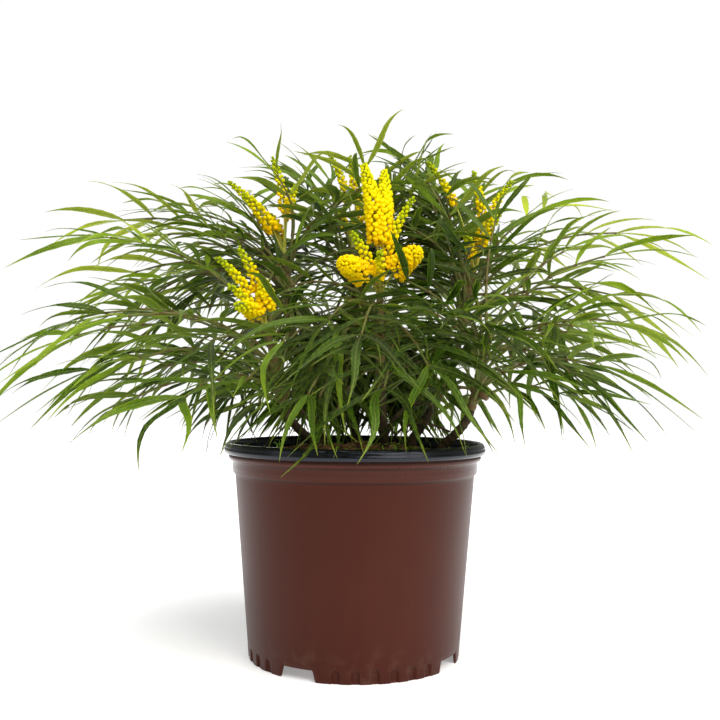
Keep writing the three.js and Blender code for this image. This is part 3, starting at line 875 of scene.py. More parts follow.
class Shade:
    """A material under construction: one Principled shader and the nodes that feed it."""

    def __init__(self, name: str, **constants: object) -> None:
        """Starts a material.

        Args:
            name: Its name.
            constants: Values of the shader's own sockets, with _ for a space.
        """
        self.material = bpy.data.materials.new(name)
        self.material.use_nodes = True
        self.tree = self.material.node_tree
        self.shader = self.tree.nodes["Principled BSDF"]
        for key, value in constants.items():
            self.shader.inputs[key.replace("_", " ")].default_value = value
        self.place = self.add("ShaderNodeTexCoord", {}, {}).outputs["Object"]

    def add(self, kind: str, settings: dict, inputs: dict) -> bpy.types.Node:
        """Adds a node.

        Args:
            kind: Its type.
            settings: Its properties, set first; a ramp's stops are under "stops".
            inputs: Values or links of its sockets, by name or number.

        Returns:
            The node.
        """
        node = self.tree.nodes.new(kind)
        for key, value in settings.items():
            if key == "stops":
                self.set_stops(node, value)
            else:
                setattr(node, key, value)
        for key, value in inputs.items():
            socket = value.socket if isinstance(value, Wire) else value
            if isinstance(socket, bpy.types.NodeSocket):
                self.tree.links.new(socket, node.inputs[key])
            else:
                node.inputs[key].default_value = socket
        return node

    @staticmethod
    def set_stops(node: bpy.types.Node, stops: list[tuple[float, str]]) -> None:
        """Sets the stops of a colour ramp.

        Args:
            node: The ramp.
            stops: Place and #rrggbb code of each.
        """
        elements = node.color_ramp.elements
        while len(elements) < len(stops):
            elements.new(0.5)
        for element, (place, code) in zip(elements, stops):
            element.position, element.color = place, colour(code)

    def noise(
        self,
        scale: float,
        detail: float = 3,
        stretch: tuple[float, float, float] = (1, 1, 1),
        rough: float = 0.5,
    ) -> Wire:
        """Noise on Object coordinates.

        Args:
            scale: Cells in a metre.
            detail: Octaves.
            stretch: Scale along each axis.
            rough: Weight of the finer octaves.

        Returns:
            A number about 0.5.
        """
        place = self.add("ShaderNodeMapping", {}, {"Vector": self.place, "Scale": stretch})
        inputs = {"Vector": place.outputs[0], "Scale": scale, "Detail": detail, "Roughness": rough}
        return Wire(self, self.add("ShaderNodeTexNoise", {}, inputs).outputs["Fac"])

    def cells(self, scale: float) -> Wire:
        """Distance to the nearest of scattered points on Object coordinates."""
        inputs = {"Vector": self.place, "Scale": scale}
        return Wire(self, self.add("ShaderNodeTexVoronoi", {}, inputs).outputs["Distance"])

    def coordinate(self, axis: str) -> Wire:
        """One of the Object coordinates, in metres."""
        split = self.add("ShaderNodeSeparateXYZ", {}, {0: self.place})
        return Wire(self, split.outputs[axis])

    def attribute(self, name: str) -> Wire:
        """A number that the mesh carries."""
        node = self.add("ShaderNodeAttribute", {"attribute_name": name}, {})
        return Wire(self, node.outputs["Fac"])

    def ramp(self, value: Wire, stops: list[tuple[float, str]]) -> bpy.types.NodeSocket:
        """A colour from a number."""
        node = self.add("ShaderNodeValToRGB", {"stops": stops}, {"Fac": value})
        return node.outputs["Color"]

    def mix(self, share: "Wire | float", a: object, b: object) -> object:
        """A mix of two colours, each a socket or a #rrggbb code.

        Args:
            share: Share of the second.
            a: The first.
            b: The second.

        Returns:
            Its output socket.
        """
        settings = {"data_type": "RGBA", "blend_type": "MIX"}
        ends = [colour(c) if isinstance(c, str) else c for c in (a, b)]
        node = self.add("ShaderNodeMix", settings, {"Factor": share})
        for key, end in zip((6, 7), ends):
            if isinstance(end, bpy.types.NodeSocket):
                self.tree.links.new(end, node.inputs[key])
            else:
                node.inputs[key].default_value = end
        return node.outputs[2]

    def feed(self, socket: str, value: "Wire | bpy.types.NodeSocket") -> None:
        """Links a value that varies to a socket of the shader."""
        source = value.socket if isinstance(value, Wire) else value
        self.tree.links.new(source, self.shader.inputs[socket])

    def bump(self, height: Wire, depth_mm: float, strength: float = 1.0) -> None:
        """Feeds the shader's normal from a height."""
        inputs = {"Height": height, "Distance": depth_mm * MM, "Strength": strength}
        self.feed("Normal", self.add("ShaderNodeBump", {}, inputs).outputs["Normal"])


@dataclass(frozen=True)
class PotPlastic:
    """Satin moulded plastic with faint flow marks, dust low down and scuffs, and painted shade under
    the rim and in the crease and groove of the collar.

    Attributes:
        name: Name of the material.
        dark: Darker colour.
        light: Lighter colour.
        roughness: Least roughness.
        dust: How much dust and scuffs show.
        gloss: Level of the highlights.
        sheen: Colour of the highlights.
    """

    name: str
    dark: str
    light: str
    roughness: float
    dust: float
    gloss: float
    sheen: str

    # Heights in metres: start, full, still full and end of each band of painted shade
    painted_shade_under_rim = (0.2095, 0.2125, 0.2138, 0.2144)
    crease = (0.2042, 0.206, 0.2066, 0.208)
    groove = (0.1905, 0.1922, 0.1932, 0.1948)
    collar_from = (0.19, 0.2)
    # Colour of the painted shade under the rim and in the crease and groove
    shadow = "#0c0504"

    def build(self) -> bpy.types.Material:
        """Makes the material.

        Returns:
            The material.
        """
        tint = colour(self.sheen)
        shade = Shade(
            self.name, Specular_IOR_Level=self.gloss, Specular_Tint=tint, Coat_Roughness=0.18
        )
        broad = shade.noise(9, 3)
        streak = shade.noise(60, 4, (1, 1, 0.12))
        fine = shade.noise(1500, 2)
        base = shade.mix(broad * 0.7 + streak * 0.3, self.dark, self.light)
        low = shade.coordinate("Z").step(0.05, 0.0) * shade.noise(70, 6).step(0.45, 0.8)
        rub = shade.noise(520, 4, (1, 1, 0.5)).step(0.62, 0.8) * broad.step(0.45, 0.7)
        base = shade.mix(low * self.dust, base, "#7a6152")
        base = shade.mix(rub * self.dust * 0.35, base, "#7d5a4d")
        height = shade.coordinate("Z")
        # Painted shade: darker under the rim and in the crease and groove of the collar
        painted_shade_under_rim = height.band(*self.painted_shade_under_rim) * 0.75
        painted_crease_shade = height.band(*self.groove) * 0.6 + height.band(*self.crease) * 0.55
        base = shade.mix(painted_shade_under_rim, base, self.shadow)
        base = shade.mix(painted_crease_shade, base, self.shadow)
        shade.feed("Base Color", base)
        collar = height.step(*self.collar_from)
        worn = broad * 0.1 + low * 0.15 + streak * 0.05
        shade.feed("Roughness", self.roughness + worn - collar * 0.12 + painted_shade_under_rim * 0.6)
        shade.feed("Coat Weight", (collar - painted_shade_under_rim) * 0.12)
        shade.bump(fine * 0.5 + streak * 0.5, 0.1, 0.3)
        return shade.material


@dataclass(frozen=True)
class LeafSkin:
    """A leaflet's skin: tone by age and by painted shade, midrib, side veins, paler tip.

    Attributes:
        name: Name of the material.
        tones: Colours from darkest, for old leaves and painted shade, to lightest, for new leaves.
        rib: Colour of the midrib.
        roughness: Least roughness.
        rib_share: How strongly the midrib shows.
    """

    name: str
    tones: tuple[str, str, str, str]
    rib: str
    roughness: float
    rib_share: float

    def build(self) -> bpy.types.Material:
        """Makes the material.

        Returns:
            The material.
        """
        shade = Shade(
            self.name,
            Specular_IOR_Level=0.36,
            Specular_Tint=colour("#dcec92"),
            Subsurface_Weight=0.2,
            Subsurface_Radius=(0.7, 1.0, 0.12),
            Subsurface_Scale=0.002,
        )
        tone, length = shade.attribute("tone"), shade.attribute("length")
        across = shade.attribute("across").size()
        patch, grain = shade.noise(26, 3), shade.noise(420, 3)
        stops = list(zip((0.0, 0.36, 0.68, 1.0), self.tones))
        base = shade.ramp(tone + (patch - 0.5) * 0.5, stops)
        veins = (length * 80 + across * 4.0).wave() * 0.5 + 0.5
        base = shade.mix(grain.step(0.35, 0.75) * 0.12, base, "#1c2c0e")
        base = shade.mix(veins.step(0.5, 1.0) * 0.06, base, self.rib)
        base = shade.mix(across.step(0.2, 0.04) * self.rib_share, base, self.rib)
        base = shade.mix(length.step(0.82, 1.0) * 0.3 * patch, base, "#a3ab3c")
        shade.feed("Base Color", base)
        shade.feed("Roughness", self.roughness + grain * 0.16 + patch * 0.1)
        relief = across.step(0.25, 0.0) * -0.8 + veins * 0.2 + grain * 0.2
        shade.bump(relief, 0.2, 0.4)
        return shade.material


@dataclass(frozen=True)
class StalkSkin:
    """Green to tan stalk, pinkish brown where its "joint" attribute rises."""

    name: str
    green: str
    tan: str
    joint: str

    def build(self) -> bpy.types.Material:
        """Makes the material.

        Returns:
            The material.
        """
        shade = Shade(self.name, Specular_IOR_Level=0.35)
        base = shade.mix(shade.noise(34, 3).step(0.35, 0.68), self.green, self.tan)
        base = shade.mix(shade.attribute("joint").step(0.1, 0.9), base, self.joint)
        streak = shade.noise(900, 2, (1, 1, 0.2))
        shade.feed("Base Color", shade.mix(streak.step(0.5, 0.8) * 0.25, base, "#2c2416"))
        shade.feed("Roughness", 0.5 + streak * 0.2)
        shade.bump(streak, 0.3, 0.5)
        return shade.material


@dataclass(frozen=True)
class CaneBark:
    """Tan to olive bark, furrowed along the cane, with darker leaf scars."""

    name: str

    def build(self) -> bpy.types.Material:
        """Makes the material.

        Returns:
            The material.
        """
        shade = Shade(self.name, Specular_IOR_Level=0.25)
        furrow = shade.noise(330, 5, (1, 1, 0.16), 0.6)
        patch = shade.noise(48, 4)
        stops = [(0.25, "#1b150c"), (0.5, "#3b301e"), (0.75, "#5f5032")]
        base = shade.ramp(furrow * 0.6 + patch * 0.4, stops)
        base = shade.mix(patch.step(0.5, 0.7) * 0.5, base, "#454d22")
        base = shade.mix(shade.attribute("joint").step(0.3, 1.0) * 0.75, base, "#1e150d")
        shade.feed("Base Color", base)
        shade.feed("Roughness", 0.72 + furrow * 0.25)
        shade.bump(furrow, 1.4, 0.9)
        return shade.material


@dataclass(frozen=True)
class Petal:
    """Flower skin from greenish bud to golden flower, by its "ripe" attribute."""

    name: str

    def build(self) -> bpy.types.Material:
        """Makes the material.

        Returns:
            The material.
        """
        shade = Shade(
            self.name,
            Specular_IOR_Level=0.22,
            Specular_Tint=colour("#ffe486"),
            Subsurface_Weight=0.12,
            Subsurface_Radius=(1.0, 0.85, 0.1),
            Subsurface_Scale=0.0016,
        )
        ripe, fine = shade.attribute("ripe"), shade.noise(700, 2)
        stops = [(0.0, "#8a9f10"), (0.22, "#c2cb08"), (0.5, "#ecdc02"), (0.78, "#f6d400")]
        stops.append((1.0, "#f2c000"))
        base = shade.ramp(ripe + (fine - 0.5) * 0.25, stops)
        shade.feed("Base Color", base)
        shade.feed("Roughness", 0.42 + fine * 0.25)
        shade.bump(fine, 0.2, 0.4)
        return shade.material


@dataclass(frozen=True)
class Crumb:
    """Peat and bark crumbs, with moss where a noise and the right side ask for it."""

    name: str
    moss: float

    def build(self) -> bpy.types.Material:
        """Makes the material.

        Returns:
            The material.
        """
        shade = Shade(self.name, Specular_IOR_Level=0.2)
        crumb, patch = shade.noise(420, 6, (1, 1, 1), 0.65), shade.noise(30, 4)
        stops = [(0.2, "#150f0a"), (0.45, "#3b2a1d"), (0.62, "#6b4c2d"), (0.8, "#a07a48")]
        base = shade.ramp(crumb, stops)
        side = shade.coordinate("X").step(-0.03, 0.08) * 0.35 + patch
        moss = side.step(0.5, 0.75) * self.moss
        green = shade.mix(crumb, "#20300c", "#6f8420")
        shade.feed("Base Color", shade.mix(moss, base, green))
        shade.feed("Roughness", 0.82 + crumb * 0.18)
        shade.bump(crumb + shade.cells(260) * 0.5, 2.5, 1.0)
        return shade.material


@dataclass(frozen=True)
class Chip:
    """A piece of bark or a dry twig, its tone by the "tone" attribute."""

    name: str
    dark: str
    light: str

    def build(self) -> bpy.types.Material:
        """Makes the material.

        Returns:
            The material.
        """
        shade = Shade(self.name, Specular_IOR_Level=0.25)
        grain = shade.noise(600, 4, (1, 0.3, 1))
        base = shade.mix(shade.attribute("tone") * 0.7 + grain * 0.3, self.dark, self.light)
        shade.feed("Base Color", base)
        shade.feed("Roughness", 0.7 + grain * 0.25)
        shade.bump(grain, 0.8, 0.8)
        return shade.material


@dataclass(frozen=True)
class Studio:
    """Plain pale paper of the studio."""

    name: str = "pale_paper"

    def build(self) -> bpy.types.Material:
        """Makes the material.

        Returns:
            The material.
        """
        white = colour("#ffffff")
        glow = {"Emission_Color": white, "Emission_Strength": 0.3}
        shade = Shade(self.name, Specular_IOR_Level=0.1, Roughness=0.9, **glow)
        tint = shade.noise(2, 2)
        shade.feed("Base Color", shade.mix(tint, "#fafaf9", "#ffffff"))
        return shade.material


@dataclass(frozen=True)
class Glow:
    """A backdrop that is lit evenly to white."""

    name: str = "bright_paper"

    def build(self) -> bpy.types.Material:
        """Makes the material.

        Returns:
            The material.
        """
        shade = Shade(self.name, Roughness=1.0, Emission_Strength=1.0)
        tint = shade.noise(1, 1)
        shade.feed("Base Color", shade.mix(tint, "#000000", "#020202"))
        shade.feed("Emission Color", shade.mix(tint, "#fefefe", "#ffffff"))
        return shade.material


class Finish(Enum):
    """The finishes of the pieces."""

    POT = PotPlastic("maroon_plastic", "#2e110c", "#431c15", 0.32, 0.25, 0.3, "#ffbca6")
    POT_INSIDE = PotPlastic("black_plastic", "#060708", "#0e1013", 0.2, 0.08, 0.4, "#dfe6ff")
    LEAF_TOP = LeafSkin(
        "leaflet_top", ("#0a1504", "#37500b", "#6f8a14", "#b2c22c"), "#8e9f3c", 0.3, 0.22
    )
    LEAF_UNDER = LeafSkin(
        "leaflet_underside", ("#22300f", "#5a7020", "#8e9e34", "#b8c048"), "#72843a", 0.5, 0.35
    )
    RACHIS = StalkSkin("rachis_skin", "#4e5e1c", "#66602a", "#57401f")
    FLOWER_STALK = StalkSkin("flower_stalk", "#9aa83a", "#b3a63c", "#8a8a34")
    BARK = CaneBark("cane_bark")
    PETAL = Petal("golden_petal")
    MIX = Crumb("peat_and_bark", 1.0)
    CHIP = Chip("bark_chip", "#24170e", "#8a6339")
    TWIG = Chip("dry_twig", "#6b5533", "#c2a874")
    MOSS = LeafSkin("moss", ("#1c2c0c", "#3a5214", "#65801d", "#9bb03a"), "#8aa030", 0.7, 0.1)
    WEED = LeafSkin("weed_leaf", ("#3f6b1f", "#5c8f28", "#7fb333", "#a8cf4a"), "#b8d67a", 0.45, 0.5)
    PAPER = Studio()
    GLOW = Glow()

    @cache
    def material(self) -> bpy.types.Material:
        """The finish as a material, made when it is first asked for."""
        return self.value.build()


# Meshes


@dataclass
class Form:
    """A mesh kept as arrays, so that it can be copied and bent.

    Attributes:
        points: Vertices, one a row.
        faces: Corners of each face.
    """

    points: np.ndarray
    faces: list[tuple[int, ...]]

    @classmethod
    def taken(cls, obj: bpy.types.Object) -> "Form":
        """Reads a modelled object, and deletes it.

        Args:
            obj: The object.

        Returns:
            Its mesh.
        """
        bpy.ops.object.mode_set(mode="OBJECT")
        mesh = obj.data
        points = np.array([obj.matrix_world @ v.co for v in mesh.vertices], float)
        faces = [tuple(p.vertices) for p in mesh.polygons]
        bpy.data.objects.remove(obj)
        bpy.data.meshes.remove(mesh)
        return cls(points, faces)


class Batch:
    """Many copies of forms, gathered for one mesh, with numbers that the vertices carry."""

    def __init__(self) -> None:
        """Starts empty."""
        self.points: list[np.ndarray] = []
        self.faces: list[tuple[int, ...]] = []
        self.slots: list[int] = []
        self.values: dict[str, list[np.ndarray]] = {}
        self.count = 0

    def add(
        self,
        points: np.ndarray,
        faces: list[tuple[int, ...]],
        slots: int | list[int] = 0,
        **values: np.ndarray | float,
    ) -> None:
        """Adds a copy.

        Args:
            points: Its vertices, in mm.
            faces: Its faces.
            slots: Its material slot, or one for each face.
            values: Numbers for its vertices, or one for all of them.
        """
        self.points.append(points)
        self.faces += [tuple(i + self.count for i in face) for face in faces]
        self.slots += slots if isinstance(slots, list) else [slots] * len(faces)
        for name, value in values.items():
            row = np.broadcast_to(np.asarray(value, float), (len(points),))
            self.values.setdefault(name, []).append(row)
        self.count += len(points)

    def build(self, name: str, materials: list[bpy.types.Material]) -> bpy.types.Object:
        """Makes the object, smooth, with its place in its mesh.

        Args:
            name: Its name.
            materials: Its material slots.

        Returns:
            The object.
        """
        mesh = bpy.data.meshes.new(name)
        mesh.from_pydata((np.vstack(self.points) * MM).tolist(), [], self.faces)
        mesh.polygons.foreach_set("material_index", self.slots)
        mesh.polygons.foreach_set("use_smooth", [True] * len(self.faces))
        for key, rows in self.values.items():
            layer = mesh.attributes.new(key, "FLOAT", "POINT")
            layer.data.foreach_set("value", np.concatenate(rows).astype(np.float32))
        for material in materials:
            mesh.materials.append(material)
        mesh.update()
        obj = bpy.data.objects.new(name, mesh)
        bpy.context.scene.collection.objects.link(obj)
        return obj


def start_modelling() -> None:
    """Leaves edit mode and deselects everything."""
    if bpy.context.object and bpy.context.object.mode != "OBJECT":
        bpy.ops.object.mode_set(mode="OBJECT")
    bpy.ops.object.select_all(action="DESELECT")


def extruded(sections: list[tuple[float, float, float]], sides: int) -> Form:
    """A closed shape along X, modelled by extruding and resizing a section.

    Args:
        sections: Place along X, half size along Y and half size along Z of each section.
        sides: Corners of a section.

    Returns:
        The shape, pointing outwards.
    """
    start_modelling()
    bpy.ops.mesh.primitive_circle_add(
        vertices=sides, radius=1, fill_type="NGON", rotation=(math.pi / 2, 0, math.pi / 2)
    )
    obj = bpy.context.object
    bpy.ops.object.transform_apply(location=True, rotation=True, scale=True)
    bpy.ops.object.mode_set(mode="EDIT")
    bpy.ops.mesh.select_all(action="SELECT")
    x0, y0, z0 = sections[0]
    bpy.ops.transform.resize(value=(1, y0, z0), center_override=(0, 0, 0))
    bpy.ops.transform.translate(value=(x0, 0, 0))
    for x1, y1, z1 in sections[1:]:
        bpy.ops.mesh.extrude_region_move(TRANSFORM_OT_translate={"value": (x1 - x0, 0, 0)})
        bpy.ops.transform.resize(value=(1, y1 / y0, z1 / z0), center_override=(x1, 0, 0))
        x0, y0, z0 = x1, y1, z1
    bpy.ops.mesh.select_all(action="SELECT")
    bpy.ops.mesh.normals_make_consistent(inside=False)
    return Form.taken(obj)


def tube(
    batch: Batch,
    path: np.ndarray,
    radii: np.ndarray,
    sides: int,
    slot: int = 0,
    **values: np.ndarray | float,
) -> None:
    """Adds a closed tube along a path.

    Args:
        batch: Where it goes.
        path: Points of its middle line, in mm.
        radii: Its radius at each point.
        sides: Its corners.
        slot: Its material slot.
        values: Numbers for each station of the path, or one for all.
    """
    count = len(path)
    runs = np.gradient(path, axis=0)
    runs /= np.linalg.norm(runs, axis=1)[:, None]
    across = np.array((1.0, 0, 0)) if abs(runs[0][2]) > 0.9 else UP
    turns = np.arange(sides) * 2 * math.pi / sides
    rings = []
    for at, run, radius in zip(path, runs, radii):
        across = unit(across - run * float(across @ run))
        over = cross(run, across)
        rings.append(at + radius * (np.outer(np.cos(turns), across) + np.outer(np.sin(turns), over)))
    faces = []
    for first in range(0, (count - 1) * sides, sides):
        for k in range(sides):
            a, b = first + k, first + (k + 1) % sides
            faces.append((a, b, b + sides, a + sides))
    faces.append(tuple(range(sides - 1, -1, -1)))
    faces.append(tuple((count - 1) * sides + k for k in range(sides)))
    spread = {
        key: np.repeat(np.broadcast_to(np.asarray(value, float), (count,)), sides)
        for key, value in values.items()
    }
    batch.add(np.vstack(rings), faces, slot, **spread)


def crisp(obj: bpy.types.Object, degrees: float) -> bpy.types.Object:
    """Smooth shading that keeps edges sharper than an angle.

    Args:
        obj: What is shaded.
        degrees: The angle.

    Returns:
        The object.
    """
    start_modelling()
    obj.select_set(True)
    bpy.context.view_layer.objects.active = obj
    bpy.ops.object.shade_smooth_by_angle(angle=math.radians(degrees))
    return obj


def finished(obj: bpy.types.Object, slot: str, *nodes: str) -> bpy.types.Object:
    """Ties a piece to the frame and reports it.

    Args:
        obj: The piece.
        slot: Kind of material of the piece; not used.
        nodes: CAD nodes that it stands for.

    Returns:
        The piece.
    """
    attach(obj, "root")
    if nodes:
        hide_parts(*nodes)
    log.info("%s: %d faces", obj.name, len(obj.data.polygons))
    return obj


# The pot and the mix


@dataclass(frozen=True)
class PotShape:
    """Sizes of the pot, in mm."""

    height: float = 226
    columns: int = 720
    flute_depth: float = 2.3
    flute_half: float = 4.1
    flute_height: float = 13.8
    flute_pitch: float = 10
    flute_section: float = 16
    flutes: int = 6
    notch_first: float = 60.5
    notch_half: float = 20.6
    notch_top_half: float = 16.6
    notch_height: float = 11.4
    foot_radius: float = 111.7


@dataclass
class Pot:
    """The nursery pot: a maroon skin outside, black inside and on its rolled rim."""

    shape: PotShape = field(default_factory=PotShape)

    def profile(self) -> list[tuple[float, float]]:
        """Radius and height of the section's outline, from the middle of the underside.

        Returns:
            The outline, in mm.
        """
        outside = [(0.6, 12), (40, 12), (60, 12.2), (62, 13.2), (64, 12.2), (98, 12), (107, 11.4)]
        outside += [(108.9, 9), (109.2, 4), (109.6, 0.6), (110.2, 0), (111.2, 0), (111.75, 0.5)]
        outside += [(111.85, z) for z in (1.6, 2.8)]
        wall = [4, 5.5, 7, 8.5, 9.6, 10.6, 11.6, 12.6, 13.6, 15, 18, 24, 34, 50, 70, 92, 114, 136]
        wall += [156, 172, 184, 190]
        outside += [(111.7 + (127.7 - 111.7) * z / 192.5, z) for z in wall]
        outside += [(127.75, 192.4), (128.6, 193.1), (130.0, 194.4), (130.5, 196), (130.75, 201)]
        outside += [(130.6, 205.4), (130.9, 206.6), (132.2, 207.4), (133.8, 208.1), (134.5, 209.4)]
        outside += [(134.75, 212), (134.7, 213.6), (135.6, 213.9), (137.6, 214.2)]
        rim = [(138.8, 215), (139.45, 216.6), (139.6, 218.4), (139.2, 219.6), (138.75, 220.2)]
        rim += [(138.85, 221.2), (138.5, 222.8), (137.6, 224.3), (136.4, 225.4), (135, 226)]
        rim += [(133.8, 225.7), (133, 224.8), (132.6, 223), (132.3, 218), (132.1, 213.6)]
        inside = [(131, 211.5), (128.5, 207.4), (128.1, 204), (128, 197), (127.2, 195)]
        inside += [(125.6, 191.4), (124, 172), (121, 136), (117, 88), (113, 40), (111.2, 19)]
        inside += [(109.6, 15.4), (106, 14.2), (60, 14.2), (0.6, 14.2)]
        return outside + rim + inside

    def spun(self) -> bpy.types.Object:
        """The section turned about the axis, closed at both poles.

        Returns:
            The object.
        """
        start_modelling()
        outline = [(r * MM, 0, z * MM) for r, z in self.profile()]
        mesh = bpy.data.meshes.new("pot_shell")
        mesh.from_pydata(outline, [(i, i + 1) for i in range(len(outline) - 1)], [])
        obj = bpy.data.objects.new("pot_shell", mesh)
        bpy.context.scene.collection.objects.link(obj)
        bpy.context.view_layer.objects.active = obj
        obj.select_set(True)
        bpy.ops.object.mode_set(mode="EDIT")
        bpy.ops.mesh.select_all(action="SELECT")
        bpy.ops.mesh.spin(
            steps=self.shape.columns, angle=2 * math.pi, center=(0, 0, 0), axis=(0, 0, 1)
        )
        bpy.ops.mesh.select_all(action="SELECT")
        bpy.ops.mesh.remove_doubles(threshold=2e-5)
        bpy.ops.mesh.select_all(action="DESELECT")
        bpy.ops.mesh.select_non_manifold(extend=False)
        bpy.ops.mesh.edge_face_add()
        bpy.ops.mesh.select_all(action="SELECT")
        bpy.ops.mesh.normals_make_consistent(inside=False)
        bpy.ops.object.mode_set(mode="OBJECT")
        return obj

    def flute(self, across: float, z: float) -> float:
        """How deep a flute is at a distance across it and a height, from 0 to 1.

        Args:
            across: The distance, in mm.
            z: The height, in mm.

        Returns:
            The depth as a share.
        """
        shape = self.shape
        top = shape.flute_height - shape.flute_half
        reach = math.hypot(across, max(z - top, 0)) / shape.flute_half
        return 1 - smooth(reach, 0.74, 1.06)

    def notch(self, across: float) -> float:
        """Height of the lower edge of the wall at a distance across a notch."""
        shape = self.shape
        side = smooth(abs(across), shape.notch_half, shape.notch_top_half)
        return shape.notch_height * side if abs(across) < shape.notch_half else 0.0

    def shaped(self, obj: bpy.types.Object) -> None:
        """Presses the flutes into the wall and lifts its edge at the notches.

        Args:
            obj: The pot.
        """
        shape = self.shape
        for vertex in obj.data.vertices:
            x, y, z = (c / MM for c in vertex.co)
            r = math.hypot(x, y)
            if z > 24 or r < 107:
                continue
            azimuth = math.degrees(math.atan2(x, -y))
            mm_per_degree = math.radians(1) * shape.foot_radius
            quarter = (azimuth - shape.notch_first + 45) % 90 - 45
            edge = self.notch(quarter * mm_per_degree)
            if z < 16:
                z = z + edge * (1 - z / 16)
            local = (azimuth - shape.flute_section + 45) % 90 - 45
            nearest = clamp(round(local / shape.flute_pitch - 0.5) + 0.5, -2.5, 2.5)
            across = (local - nearest * shape.flute_pitch) * mm_per_degree
            if r > shape.foot_radius - 0.9:
                r -= shape.flute_depth * self.flute(across, z)
            turn = math.radians(azimuth)
            vertex.co = (r * math.sin(turn) * MM, -r * math.cos(turn) * MM, z * MM)

    def build(self) -> None:
        """Models the pot and dresses it."""
        obj = self.spun()
        self.shaped(obj)
        obj.data.materials.append(Finish.POT.material())
        obj.data.materials.append(Finish.POT_INSIDE.material())
        for face in obj.data.polygons:
            z, (x, y, _), n = face.center.z / MM, face.center, face.normal
            out = (n.x * x + n.y * y) / math.hypot(x, y) > 0.15 or n.z < -0.3
            face.material_index = 0 if z < 12.9 or (z < 213.9 and out) else 1
        finished(crisp(obj, 50), "pot", "nursery_pot")


